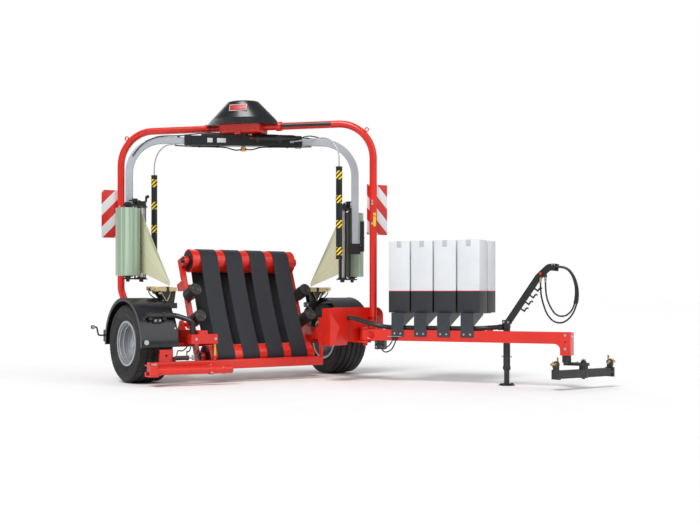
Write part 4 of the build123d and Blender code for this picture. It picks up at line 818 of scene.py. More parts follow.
@dataclass
class Dressing:
    """Finishes of the CAD nodes whose shape is right."""

    finishes: Finishes

    NODES = {
        "red_enamel": ("axle", "side_beams", "front_bar", "cross_member", "arch", "hub_gearbox", "cover_box",
                       "table_drums", "table_frame", "drawbar", "loading_arm"),
        "black_enamel": ("mudguard_stay_left", "mudguard_stay_right", "cutter_posts", "rotor_beam",
                         "film_carriage_left", "film_carriage_right", "yoke", "hitch_beam", "jack_tube",
                         "jack_leg", "hose_rack", "hose_holders", "valve_box"),
        "slate_enamel": ("film_racks",),
        "silver_enamel": ("rotor_arms", "safety_rod_left", "safety_rod_right"),
        "wheel_silver": ("rim_left", "rim_right"),
        "black_gloss_plastic": ("hub_cover", "safety_bar_left", "safety_bar_right"),
        "guard_plastic": ("mudguard_left", "mudguard_right"),
        "black_matt_plastic": ("rear_lamps",),
        "roller_rubber": ("guide_roller_left_upper", "guide_roller_left_lower", "guide_roller_right_upper",
                          "guide_roller_right_lower"),
        "zinc_plate": ("stretch_rollers_left", "stretch_rollers_right", "drum_shafts", "hose_couplings"),
        "yellow_zinc": ("link_pins", "cutter_jaws"),
        "brass_body": ("rotary_union",),
        "table_belting": ("table_belts",),
        "pale_green_roll": ("film_roll_left", "film_roll_right"),
        "cream_film": ("film_web_left", "film_web_right"),
        "board_stripes": ("warning_boards",),
        "carton_print": ("film_cartons",),
        "red_lens": ("lamp_lenses",),
        "tyre_rubber": ("tyre_left", "tyre_right"),
        "hose_rubber": ("hose_loop_outer", "hose_loop_inner"),
    }

    def dress(self) -> None:
        """Puts each finish on its nodes."""
        for finish, nodes in self.NODES.items():
            for name in nodes:
                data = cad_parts[name].data
                data.materials.clear()
                data.materials.append(self.finishes[finish])


@dataclass
class Assembly:
    """Pieces of one part of the machine."""

    finishes: Finishes

    def made(self, shape: Shape, name: str, body: str | None, slot: str, *looks: str,
             stands_for: tuple[str, ...] = (), sharp: float = 35.0) -> bpy.types.Object:
        """Makes the finished piece of a shape.

        Args:
            shape: Shape of the piece.
            name: Name of the piece.
            body: Body that it rides on, or none where it bends between two.
            slot: The record's material slot; not used.
            looks: Names of its finishes, in the order of their indices.
            stands_for: CAD nodes that it stands for.
            sharp: Angle in degrees over which an edge is sharp.

        Returns:
            The piece.
        """
        bmesh.ops.recalc_face_normals(shape.mesh, faces=shape.mesh.faces)
        shape.mesh.transform(Matrix.Translation(MACHINE))
        data = bpy.data.meshes.new(name)
        shape.mesh.to_mesh(data)
        shape.mesh.free()
        for look in looks:
            data.materials.append(self.finishes[look])
        data.shade_smooth()
        data.set_sharp_from_angle(angle=math.radians(sharp))
        piece = bpy.data.objects.new(name, data)
        bpy.context.scene.collection.objects.link(piece)
        if body:
            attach(piece, body)
        if stands_for:
            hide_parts(*stands_for)
        log.info("piece %s is made for %s", name, body or "two bodies")
        return piece


@dataclass
class Wheels(Assembly):
    """Treaded tyres, wheel rings and nuts."""

    radius: float = 0.425
    crown: float = 0.014
    tread_half: float = 0.172
    block: float = 0.011
    pitches: int = 60
    ribs: Pairs = ((-0.142, 0.056), (-0.0705, 0.052), (0.0, 0.054), (0.0705, 0.052), (0.142, 0.056))
    sidewall: Pairs = (
        (0.229, 0.158), (0.262, 0.163), (0.31, 0.192), (0.345, 0.2005), (0.385, 0.194), (0.402, 0.18))
    ridges: Pairs = ((0.275, 0.1709), (0.29, 0.18), (0.345, 0.2005), (0.353, 0.1991))
    lug_along: float = 0.19
    disc_rings: Pairs = ((0.196, 0.073), (0.172, 0.066), (0.15, 0.058))
    barrel_rings: tuple[Pairs, ...] = (
        ((0.2125, 0.158), (0.2065, 0.152), (0.2065, 0.146), (0.2105, 0.141)),
        ((0.2085, 0.115), (0.2, 0.109), (0.199, 0.1), (0.2065, 0.094)),
        ((0.2065, 0.09), (0.2, 0.088), (0.198, 0.078), (0.2035, 0.0715)))
    cap: Pairs = (
        (0.0, 0.1), (0.03, 0.1), (0.044, 0.094), (0.0485, 0.08), (0.0485, 0.06), (0.058, 0.06),
        (0.058, 0.056))
    nuts: int = 8
    nut_circle: float = 0.103

    def tread_radius(self, offset: float) -> float:
        """Radius of the tread at an offset from its middle."""
        return self.radius - self.crown * (offset / self.tread_half) ** 2

    def tyre(self, side: Side) -> None:
        """Builds one tyre with rows of staggered blocks.

        Args:
            side: Side of the machine.
        """
        shape = Shape(Frame.wheel(side))
        base = self.block
        profile = [*self.sidewall, (self.tread_radius(self.tread_half) - base, 0.17),
                   (self.tread_radius(0.09) - base, 0.09), (self.radius - base, 0.0)]
        around = profile + [(radius, -along) for radius, along in reversed(profile[:-1])]
        shape.turned(around + [around[0]], ORIGIN, UP, steps=72)
        pitch = 2 * math.pi / self.pitches
        for row, (offset, width) in enumerate(self.ribs):
            outer = self.tread_radius(offset)
            half = pitch * outer * 0.47
            lean = Matrix.Rotation(math.radians(5 if row % 2 else -5), 4, "X")
            for index in range(self.pitches):
                turn = Matrix.Rotation((index + 0.5 * (row % 2)) * pitch, 4, "Z") @ lean
                shape.box((outer - base - 0.006, -half, offset - width / 2),
                          (outer - 0.001, half, offset + width / 2), bevel=0.0, local=turn)
        for sign in SIGNS:
            for ring, along in self.ridges:
                foot, top = sign * (along - 0.001), sign * (along + 0.002)
                shape.turned([(ring - 0.0025, foot), (ring, top), (ring + 0.0025, foot)], ORIGIN, UP, 0, 72)
        for sign in SIGNS:
            along = sign * self.lug_along
            for index in range(self.pitches):
                turn = Matrix.Rotation(index * pitch, 4, "Z")
                low, high = (0.366, -0.006, along - 0.005), (0.388, 0.006, along + 0.005)
                shape.box(low, high, bevel=0.0, local=turn)
        self.made(shape, f"tyre_{side.word}_treaded", f"wheel_{side.word}", "tyre_rubber", "tyre_rubber",
                  stands_for=(f"tyre_{side.word}",), sharp=30)

    def rim(self, side: Side) -> None:
        """Adds rings, nuts and a cap to one rim.

        Args:
            side: Side of the machine.
        """
        shape = Shape(Frame.wheel(side))
        for radius, top in self.disc_rings:
            low = top - 0.012
            shape.turned([(radius - 0.006, low), (radius - 0.004, top), (radius + 0.004, top),
                          (radius + 0.006, low)], ORIGIN, UP, 0, 64)
        for profile in self.barrel_rings:
            shape.turned(profile, ORIGIN, UP, 0, 72)
        for index in range(self.nuts):
            nut = Matrix.Rotation(index * math.tau / self.nuts, 4, "Z") @ Vector((self.nut_circle, 0.0, 0.04))
            shape.bolt(nut, UP, 0.012, 1)
        shape.turned(self.cap, ORIGIN, UP, 0, 40)
        self.made(shape, f"rim_{side.word}_rings", f"wheel_{side.word}", "rim_silver",
                  "wheel_silver", "zinc_plate")

    def build(self) -> None:
        """Builds both wheels."""
        for side in Side:
            self.tyre(side)
            self.rim(side)


@dataclass
class Guards(Assembly):
    """Reflectors, clamps and edges of the mudguards, and the rear lamps."""

    hub_z: float = 0.425
    radius: float = 0.49
    stay_angle: float = 36.0
    stay_radius: float = 0.0275
    clamp_ys: Pair = (1.2, 1.36)
    reflector_tilt: float = 3.0
    reflector_y: float = 1.43
    edge_y: float = 1.4765
    edge_low: float = 0.402
    bead: Pair = (0.4905, 0.4935)
    reflector_radius: float = 0.03
    glass_radius: float = 0.026
    clamp_radius: float = 0.033
    clamp_half: float = 0.02
    bolt_y: float = 1.085
    bolt_head: float = 0.008
    lens_xs: Pair = (-0.5575, -0.5505)
    lens_zs: Pair = (0.441, 0.549)
    lamp_z: float = 0.592
    lamp_radius: float = 0.0145
    lamp_y: float = 1.605
    lenses: tuple[tuple[float, float, int], ...] = ((1.31, 1.362, 1), (1.366, 1.46, 0))
    block_bolt_ys: Pair = (1.255, 1.305)
    bolt_angles: tuple[int, ...] = (20, 70, 110, 150)

    def edge(self, side: Side) -> None:
        """Lays the bead on the outer edge of one mudguard.

        Args:
            side: Side of the machine.
        """
        rim = Shape()
        rim.band(*self.bead, 0.003, 0.002, (0, side.value * self.edge_y, self.hub_z), LEFTWARDS, 0, 48)
        whole = rim.mesh.verts[:] + rim.mesh.edges[:] + rim.mesh.faces[:]
        bmesh.ops.bisect_plane(rim.mesh, geom=whole, dist=1e-5, plane_co=(0, 0, self.edge_low), plane_no=DOWN,
                               clear_outer=True)
        self.made(rim, f"guard_edge_{side.word}", "chassis", "black_plastic", "guard_plastic")

    def fittings(self, side: Side) -> None:
        """Adds the reflector, the stay's clamps and the bolts of one mudguard.

        Args:
            side: Side of the machine.
        """
        sign = side.value
        shape = Shape()
        tilt = math.radians(self.reflector_tilt)
        out = Vector((math.cos(tilt), 0.0, math.sin(tilt)))
        at = Vector((0.0, sign * self.reflector_y, self.hub_z)) + out * self.radius
        shape.rod(at - out * 0.004, at + out * 0.009, self.reflector_radius, 0, 32, bevel=0.002)
        shape.rod(at + out * 0.008, at + out * 0.012, self.glass_radius, 2, 32)
        reach, turn = self.radius + self.stay_radius, math.radians(self.stay_angle)
        stay = Vector((reach * math.cos(turn), 0.0, self.hub_z + reach * math.sin(turn)))
        for y in self.clamp_ys:
            shape.collar(self.stay_radius, self.clamp_radius, -self.clamp_half, self.clamp_half,
                         (stay.x, sign * y, stay.z), LEFTWARDS, 0, 28)
            shape.box((stay.x + 0.02, sign * y - self.clamp_half, stay.z - 0.045),
                      (stay.x + 0.034, sign * y + self.clamp_half, stay.z - 0.02), 0, 0.002)
        near, far = sorted(sign * y for y in self.clamp_ys)
        shape.box((stay.x - 0.02, near + 0.03, stay.z - 0.075),
                  (stay.x + 0.03, far - 0.03, stay.z - 0.03), 0, 0.004)
        for y in self.block_bolt_ys:
            shape.bolt((stay.x + 0.03, sign * y, stay.z - 0.052), AHEAD, self.bolt_head, 1)
        for angle in self.bolt_angles:
            turn = math.radians(angle)
            out = Vector((math.cos(turn), 0.0, math.sin(turn)))
            at = Vector((0.0, sign * self.bolt_y, self.hub_z)) + out * self.radius
            shape.bolt(at, out, self.bolt_head, 1)
        self.made(shape, f"guard_fittings_{side.word}", "chassis", "black_plastic",
                  "black_matt_plastic", "zinc_plate", "clear_lens")

    def lamps(self) -> None:
        """Builds the glass of the rear lamps and of the marker lamps."""
        shape = Shape()
        (back, face), (foot, top) = self.lens_xs, self.lens_zs
        for side in Side:
            sign = side.value
            for low, high, paint in self.lenses:
                shape.box((back, sign * low, foot), (face, sign * high, top), paint, 0.002)
            y, z = sign * self.lamp_y, self.lamp_z
            for x, depth, paint in ((-0.5415, -0.006, 0), (-0.5045, 0.006, 2)):
                shape.rod((x, y, z), (x + depth, y, z), self.lamp_radius, paint, 24, bevel=0.001)
        self.made(shape, "lamp_glass", "chassis", "lens", "red_lens", "amber_lens", "clear_lens",
                  stands_for=("lamp_lenses",))

    def build(self) -> None:
        """Builds the pieces of both sides."""
        for side in Side:
            self.edge(side)
            self.fittings(side)
        self.lamps()


@dataclass
class ArchTrim(Assembly):
    """Bands, clamps, bolts and plates on the arch and its hub."""

    half_span: float = 1.528
    top: float = 2.866
    tube: float = 0.04125
    band_lift: float = 0.0009
    board_ys: Pair = (0.9455, 1.2265)
    board_zs: Pair = (1.6205, 2.1835)
    board_wall: float = 0.003
    board_backs: Pair = (1.1104, -1.1993)
    board_bolt_y: float = 1.03
    bands_along: tuple[tuple[float, float, int], ...] = (
        (0.46, 1.05, 0), (0.405, 0.415, 1), (0.43, 0.448, 1))
    stickers: Pairs = ((1.71, 1.82), (1.83, 1.86))
    leg_bolt_zs: Numbers = (1.96, 1.99, 1.74)
    feet: tuple[Point, ...] = ((0.702, 0.014, 0.012), (0.45, 0.008, 0.03))
    cover_bolt_xs: Numbers = (-0.2, -0.12, 0.12, 0.2)
    board_bolt_zs: Numbers = (1.74, 1.9, 2.06)

    def bands(self) -> None:
        """Lays the black band and the blank strips on the tube."""
        shape = Shape(Frame.ARCH)
        skin = self.tube + self.band_lift
        for low, high, paint in self.bands_along:
            shape.patch((low, 0, self.top), (high, 0, self.top), skin, (0, -1, 0.05), 62, paint)
        for low, high in self.stickers:
            shape.patch((self.half_span, 0, low), (self.half_span, 0, high), skin, (0.75, -1, 0), 44, 2)
        self.made(shape, "arch_bands", "chassis", "red_paint",
                  "black_enamel", "white_sticker", "yellow_enamel")

    def clamps(self) -> None:
        """Bolts the boards and the foot clamps to the legs."""
        shape = Shape(Frame.ARCH)
        for sign in SIGNS:
            for z in self.leg_bolt_zs:
                shape.bolt((sign * self.half_span, -self.tube - 0.0005, z), RIGHTWARDS, 0.0095, 1)
        for low, wall, height in self.feet:
            shape.collar(self.tube, self.tube + wall, 0.0, height, (self.half_span, 0, low), UP, 0, 40)
        self.made(shape, "arch_clamps", "chassis", "red_paint", "red_enamel", "zinc_plate")

    def hub(self) -> None:
        """Adds the cover's blank plate and the gear box's bolts and collars."""
        shape = Shape(Frame.ARCH)
        for x in self.cover_bolt_xs:
            shape.bolt((x, -0.179, 2.82), RIGHTWARDS, 0.009, 0)
        for sign in SIGNS:
            at = (sign * 0.43, 0, self.top)
            shape.collar(self.tube + 0.001, self.tube + 0.012, -0.03, 0.03, at, AHEAD, 0, 36)
        shape.box((-0.03, -0.2, 2.77), (0.03, -0.15, 2.80), 0, 0.004)
        self.made(shape, "hub_bolts", "chassis", "red_paint", "red_enamel", "zinc_plate")
        plate = Shape(Frame.ARCH)
        lean = Matrix.Translation((0.0, -0.181, 3.07)) @ Matrix.Rotation(math.radians(-19.9), 4, "X")
        plate.box((-0.105, -0.0015, -0.04), (0.105, 0.006, 0.04), 0, 0.001, lean)
        plate.box((-0.098, -0.0025, -0.033), (0.098, 0.0, 0.033), 1, 0.0005, lean)
        self.made(plate, "hub_blank_plate", "chassis", "black_plastic", "white_sticker", "red_cap_plastic")

    def boards(self) -> None:
        """Builds the striped boards with rounded corners."""
        shape = Shape()
        for side, back, paint in zip(Side, self.board_backs, (0, 1)):
            front = back + self.board_wall
            near, far = (side.value * y for y in self.board_ys)
            shape.box((back, near, self.board_zs[0]), (front, far, self.board_zs[1]), paint, 0.0008)
            for z in self.board_bolt_zs:
                shape.bolt((front, side.value * self.board_bolt_y, z), AHEAD, 0.006, 2)
        self.made(shape, "warning_board_sheets", "chassis", "board",
                  "board_stripes", "board_stripes_mirrored", "zinc_plate", stands_for=("warning_boards",))

    def build(self) -> None:
        """Builds every piece of the arch."""
        self.bands()
        self.clamps()
        self.hub()
        self.boards()


@dataclass
class Satellites(Assembly):
    """Beam hoses, arms, carriages, film and safety bars."""

    bar: Point = (1.045, -0.571, 0.035)
    patches: Pairs = ((2.224, 2.32), (1.962, 2.05), (1.685, 1.774), (1.386, 1.475))
    bar_ends: Pair = (1.342, 2.352)
    roller_reach: float = 1.15
    roller_offsets: Pair = (0.118, 0.02)
    roller_radius: float = 0.042
    roller_caps: Pair = (1.137, 1.925)
    case_top: float = 2.0
    roll: Pair = (1.285, 0.24)
    roll_low: float = 1.162
    roll_height: float = 0.75
    tip: Pair = (0.05, 0.95)
    film_start: Pair = (1.204, 1.9)
    film_tip: Pair = (1.0435, 1.09)
    film_wall: float = 0.0012
    film_cells: tuple[int, int] = (28, 44)
    film_lift: float = 0.001
    ripple: float = 0.002
    belly: float = 0.006
    spring: Pair = (1.374, 0.0)
    accumulator_y: float = -0.0945
    beam_faces: Pair = (2.6425, 2.7715)
    case_bolts: Pairs = ((1.108, -0.008), (1.18, -0.008), (1.108, 0.144), (1.18, 0.144))
    roll_cap: Pairs = ((0.0, 1.953), (0.045, 1.953), (0.045, 1.962), (0.03, 1.974), (0.0, 1.978))
    spring_cap: Pairs = ((0.0, 1.8), (0.02, 1.8), (0.02, 1.812), (0.0, 1.816))
    spring_ring: Pairs = ((0.0255, 1.6), (0.028, 1.603), (0.028, 1.617), (0.0255, 1.62))
    motor_hose: Route = (
        (1.374, 0.0, 1.52), (1.382, 0.03, 1.5), (1.37, 0.05, 1.44), (1.34, 0.045, 1.47), (1.33, 0.03, 1.5))
    wound_rings: Numbers = (0.07, 0.088, 0.105, 0.12)
    label_spans: Pairs = ((0.2, 0.3), (0.35, 0.41))
    bottle: Pairs = (
        (0.0, 0.0), (0.02, 0.0), (0.03, 0.01), (0.034, 0.08), (0.037, 0.3), (0.034, 0.46), (0.024, 0.5),
        (0.024, 0.56), (0.0, 0.56))
    strap_xs: Pair = (0.16, 0.42)
    clamp_xs: Pair = (0.61, 0.652)
    under_hose: Route = (
        (0.02, -0.02, 2.62), (0.07, -0.03, 2.606), (0.14, -0.03, 2.622), (0.2, -0.03, 2.643),
        (0.4, -0.03, 2.646), (0.6, -0.03, 2.646), (0.78, -0.03, 2.655))
    over_hose: Route = (
        (0.1, 0.033, 2.792), (0.3, 0.033, 2.796), (0.5, 0.035, 2.788), (0.72, 0.03, 2.757),
        (0.9, 0.028, 2.756), (1.0, 0.028, 2.74), (1.16, 0.03, 2.66), (1.25, 0.032, 2.52))
    joint: Pairs = (
        (0.0, 2.5925), (0.022, 2.5925), (0.024, 2.6), (0.024, 2.616), (0.0295, 2.618), (0.0295, 2.64),
        (0.02, 2.642), (0.02, 2.6515), (0.0, 2.6515))

    def bar_bands(self, side: Side) -> None:
        """Puts striped sleeves and end caps on one safety bar.

        Args:
            side: Side of the satellite.
        """
        x, y, radius = self.bar
        shape = Shape(Frame.satellite(side))
        for low, high in self.patches:
            shape.collar(radius - 0.001, radius + 0.0012, low, high, (x, y, 0), UP, 0, 40)
        for low in self.bar_ends:
            shape.collar(0.0, radius + 0.002, low, low + 0.016, (x, y, 0), UP, 1, 40)
        self.made(shape, f"safety_bands_{side.word}", "rotor", "black_plastic",
                  "bar_stripes", "black_matt_plastic")

    def film(self, side: Side) -> None:
        """Builds the drawn film between the rollers and the cutter.

        Args:
            side: Side of the satellite.
        """
        reach = self.roller_offsets[0] + self.roller_radius + 0.0013
        start = Frame.satellite(side) @ Vector((self.roller_reach, reach, 0.0))
        end = Vector((-side.value * self.tip[0], side.value * self.tip[1], 0.0))
        run = end - start
        across = run.cross(Vector(UP)).normalized()
        shape = Shape()
        sheet = shape.mesh
        sheet.loops.layers.uv.new("film")
        columns, rows = self.film_cells
        bmesh.ops.create_grid(sheet, x_segments=columns, y_segments=rows, size=0.5, calc_uvs=True)
        for vert in sheet.verts:
            share, rise = vert.co.x + 0.5, vert.co.y + 0.5
            low, high = (near + (far - near) * share for near, far in zip(self.film_start, self.film_tip))
            wave = math.sin(rise * 46.0 + share * 5.0) * 0.5 + math.sin(rise * 21.0) * 0.5
            ripple = wave * self.ripple * share * (1.2 - share)
            belly = math.sin(math.pi * share) * math.sin(math.pi * rise) * self.belly
            height = Vector((0, 0, low + (high - low) * rise))
            vert.co = start + run * share + across * (ripple + belly + self.film_lift) + height
        bmesh.ops.recalc_face_normals(sheet, faces=sheet.faces)
        bmesh.ops.solidify(sheet, geom=sheet.faces[:], thickness=self.film_wall)
        piece = self.made(shape, f"drawn_film_{side.word}", "rotor", "film_sheet", "cream_film",
                          stands_for=(f"film_web_{side.word}",), sharp=80)

    def carriage(self, side: Side) -> None:
        """Adds caps, knobs, a handle, bolts and a short hose to one carriage.

        Args:
            side: Side of the satellite.
        """
        shape = Shape(Frame.satellite(side))
        for offset in self.roller_offsets:
            for z in self.roller_caps:
                shape.collar(0.0, 0.05, 0.0, 0.01, (self.roller_reach, offset, z), UP, 0, 32)
        for x, y in self.case_bolts:
            shape.bolt((x, y, self.case_top), UP, 0.007, 1)
        for start, end, radius, sides, bevel in (
                ((1.222, 0.059, 2.018), (1.222, 0.059, 2.036), 0.03, 24, 0.003),
                ((1.16, 0.03, 2.008), (1.25, 0.085, 2.03), 0.009, 16, 0.0),
                ((1.1, 0.02, 2.0), (1.1, 0.02, 2.055), 0.012, 20, 0.002),
                ((1.1, 0.02, 2.05), (1.075, 0.0, 2.07), 0.019, 24, 0.004)):
            shape.rod(start, end, radius, 0, sides, bevel=bevel)
        x, y = self.roll
        shape.turned(self.roll_cap, (x, y, 0), UP, 0, 32)
        shape.rod((x, y, 1.97), (x, y, 2.0), 0.012, 1, 16)
        shape.rod((x, y, 1.996), (x - 0.07, y - 0.03, 2.004), 0.008, 0, 16)
        for low in (1.913, 1.148):
            shape.collar(0.0, 0.058, low, low + 0.013, (x, y, 0), UP, 0, 36)
        for z in (1.442, 1.518):
            for offset in (0.024, -0.024):
                shape.bolt((1.347, offset, z), AHEAD, 0.008, 1)
                shape.bolt((1.2325, offset, z), BACK, 0.008, 1)
        at = (*self.spring, 0)
        shape.turned(self.spring_cap, at, UP, 1, 24)
        shape.turned(self.spring_ring, at, UP, 0, 32)
        shape.pipe(self.motor_hose, 0.006, 2)
        self.made(shape, f"carriage_fittings_{side.word}", "rotor", "black_paint",
                  "black_enamel", "zinc_plate", "hose_rubber")

    def core(self, side: Side) -> None:
        """Builds the board core and the wound ends of one film roll.

        Args:
            side: Side of the satellite.
        """
        shape = Shape(Frame.satellite(side))
        for z, sign in ((self.roll_low, -1), (self.roll_low + self.roll_height, 1)):
            at = (*self.roll, z)
            shape.collar(0.034, 0.05, 0.0, sign * 0.004, at, UP, 0, 40)
            for ring in self.wound_rings:
                shape.turned([(ring, 0.0), (ring + 0.004, sign * 0.0014), (ring + 0.008, 0.0)], at, UP, 1, 48)
        self.made(shape, f"roll_core_{side.word}", f"roll_{side.word}", "film_roll",
                  "core_board", "pale_green_roll")

    def labels(self, shape: Shape) -> None:
        """Puts two blank patches on the right half of the beam.

        Args:
            shape: Shape that takes them.
        """
        for low, high in self.label_spans:
            shape.box((low, 0.0546, 2.685), (high, 0.0558, 2.735), 2, 0.0004)

    def accumulator(self, shape: Shape) -> None:
        """Straps a pressure bottle with its hose to the left half of the beam.

        Args:
            shape: Shape that takes it.
        """
        y, way = self.accumulator_y, (1, 0, 0.02)
        shape.turned(self.bottle, (0.1, y, 2.735), way, 4, 32)
        for x in self.strap_xs:
            shape.collar(0.0375, 0.0415, -0.02, 0.02, (x, y, 2.737), way, 0, 32)
            shape.box((x - 0.018, -0.094, 2.69), (x + 0.018, -0.054, 2.72), 0, 0.003)
        shape.pipe([(0.655, y, 2.746), (0.72, -0.09, 2.77), (0.8, -0.05, 2.775), (0.88, 0.0, 2.762)],
                   0.007, 3)
        shape.rod((0.1, y, 2.735), (0.075, y, 2.735), 0.012, 5, 6)

    def arm(self, side: Side) -> None:
        """Adds clamps, hoses and blank patches to one half of the beam.

        Args:
            side: Side of the satellite.
        """
        shape = Shape(Frame.satellite(side))
        for x in self.clamp_xs:
            for z, way in zip(self.beam_faces, (DOWN, UP)):
                shape.bolt((x, 0.0, z), way, 0.01, 1)
        if side is Side.RIGHT:
            self.labels(shape)
        else:
            self.accumulator(shape)
        shape.box((0.03, 0.02, 2.762), (0.48, 0.046, 2.786), 0, 0.004)
        shape.pipe(self.under_hose, 0.0075, 3)
        shape.pipe(self.over_hose, 0.0065, 3)
        for x in (0.3, 0.5):
            shape.box((x - 0.012, -0.042, 2.635), (x + 0.012, -0.018, 2.654), 0, 0.002)
        shape.box((0.72, -0.029, 2.748), (0.75, 0.04, 2.762), 0, 0.002)
        self.made(shape, f"beam_fittings_{side.word}", "rotor", "black_paint", "black_enamel", "zinc_plate",
                  "white_sticker", "hose_rubber", "black_gloss_plastic", "red_cap_plastic")

    def union(self) -> None:
        """Builds the turning joint under the beam."""
        shape = Shape()
        shape.turned(self.joint, ORIGIN, UP, 0, 36)
        centre = Vector((0, 0, 2.608))
        for angle in (35, 215):
            turn = math.radians(angle)
            out = Vector((math.cos(turn), math.sin(turn), 0.0))
            shape.rod(out * 0.02 + centre, out * 0.038 + centre, 0.009, 0, 6)
        self.made(shape, "turning_joint", "rotor", "brass", "brass_body", stands_for=("rotary_union",))

    def build(self) -> None:
        """Builds both satellites."""
        for side in Side:
            self.bar_bands(side)
            self.film(side)
            self.carriage(side)
            self.core(side)
            self.arm(side)
        self.union()


@dataclass
class TableTrim(Assembly):
    """Drum ends, guide roller ends and bolts of the table."""

    drums_along: Pair = (0.0, 1.128)
    drum: float = 0.128
    drum_end: float = 0.6632
    arm_face: float = 0.7302
    guide_along: Pair = (0.397, 0.705)
    guide_y: float = 0.713
    crown_ys: Numbers = (-0.312, 0.0, 0.312)
    flange_bolts: Pairs = ((0.036, 0.0), (-0.036, 0.0), (0.0, 0.036), (0.0, -0.036))
    frame_bolts: Numbers = (0.2, 0.5, 0.86, 1.0)
    guide_foot: Pairs = ((0.0, 0.0), (0.046, 0.0), (0.046, 0.012), (0.03, 0.018), (0.0, 0.018))
    guide_rings: tuple[Pairs, ...] = (
        ((0.026, 0.1562), (0.03, 0.159), (0.036, 0.159), (0.04, 0.1562)),
        ((0.054, 0.1562), (0.057, 0.1582), (0.062, 0.1578), (0.0635, 0.1558)),
        ((0.0698, -0.023), (0.0712, -0.02), (0.0698, -0.017)),
        ((0.0698, 0.127), (0.0712, 0.13), (0.0698, 0.133)))

    def drums(self) -> None:
        """Adds the drums' rims and end discs."""
        shape = Shape(Frame.TABLE)
        for along in self.drums_along:
            for sign in SIGNS:
                at = (along, sign * self.drum_end, 0)
                shape.turned([(0.03, 0.0), (0.112, 0.0), (0.116, sign * 0.0012), (0.03, sign * 0.0012)], at,
                             LEFTWARDS, 1, 48)
                shape.collar(self.drum, self.drum + 0.003, -sign * 0.02, 0.0, at, LEFTWARDS, 0, 48)
            for y in self.crown_ys:
                shape.band(self.drum, self.drum + 0.0024, 0.004, 0.003, (along, y, 0), LEFTWARDS, 0, 48)
        self.made(shape, "drum_rims", "table", "red_paint", "red_enamel", "black_enamel")

    def frame_fittings(self) -> None:
        """Adds bearing flanges, bolts and the guide rollers' feet."""
        shape = Shape(Frame.TABLE)
        for along in self.drums_along:
            for sign in SIGNS:
                y = sign * self.arm_face
                face, step = sign * 0.014, sign * 0.006
                shape.turned([(0.0, face), (0.024, face), (0.03, step), (0.046, 0.0), (0.0, 0.0)],
                             (along, y, 0), LEFTWARDS, 2, 32)
                for dx, dz in self.flange_bolts:
                    shape.bolt((along + dx, y, dz), (0, sign, 0), 0.007, 1)
        for sign in SIGNS:
            for along in self.frame_bolts:
                shape.bolt((along, sign * self.arm_face, -0.095), (0, sign, 0), 0.009, 1)
            for along in self.guide_along:
                shape.turned(self.guide_foot, (along, sign * self.guide_y, -0.0645), UP, 0, 32)
        self.made(shape, "table_fittings", "table", "red_paint", "red_enamel", "zinc_plate", "black_enamel")

    def guides(self) -> None:
        """Adds the dished ends of the four guide rollers."""
        for side in Side:
            for level, along in zip(("upper", "lower"), self.guide_along):
                shape = Shape(Frame.TABLE)
                at = (along, side.value * self.guide_y, 0.0)
                shape.collar(0.0, 0.012, 0.1565, 0.163, at, UP, 1, 24)
                for profile in self.guide_rings:
                    shape.turned(profile, at, UP, 0, 40)
                self.made(shape, f"guide_ends_{side.word}_{level}", f"guide_{side.word}_{level}",
                          "roller_rubber", "roller_rubber", "black_enamel")

    def build(self) -> None:
        """Builds the table's pieces."""
        self.drums()
        self.frame_fittings()
        self.guides()


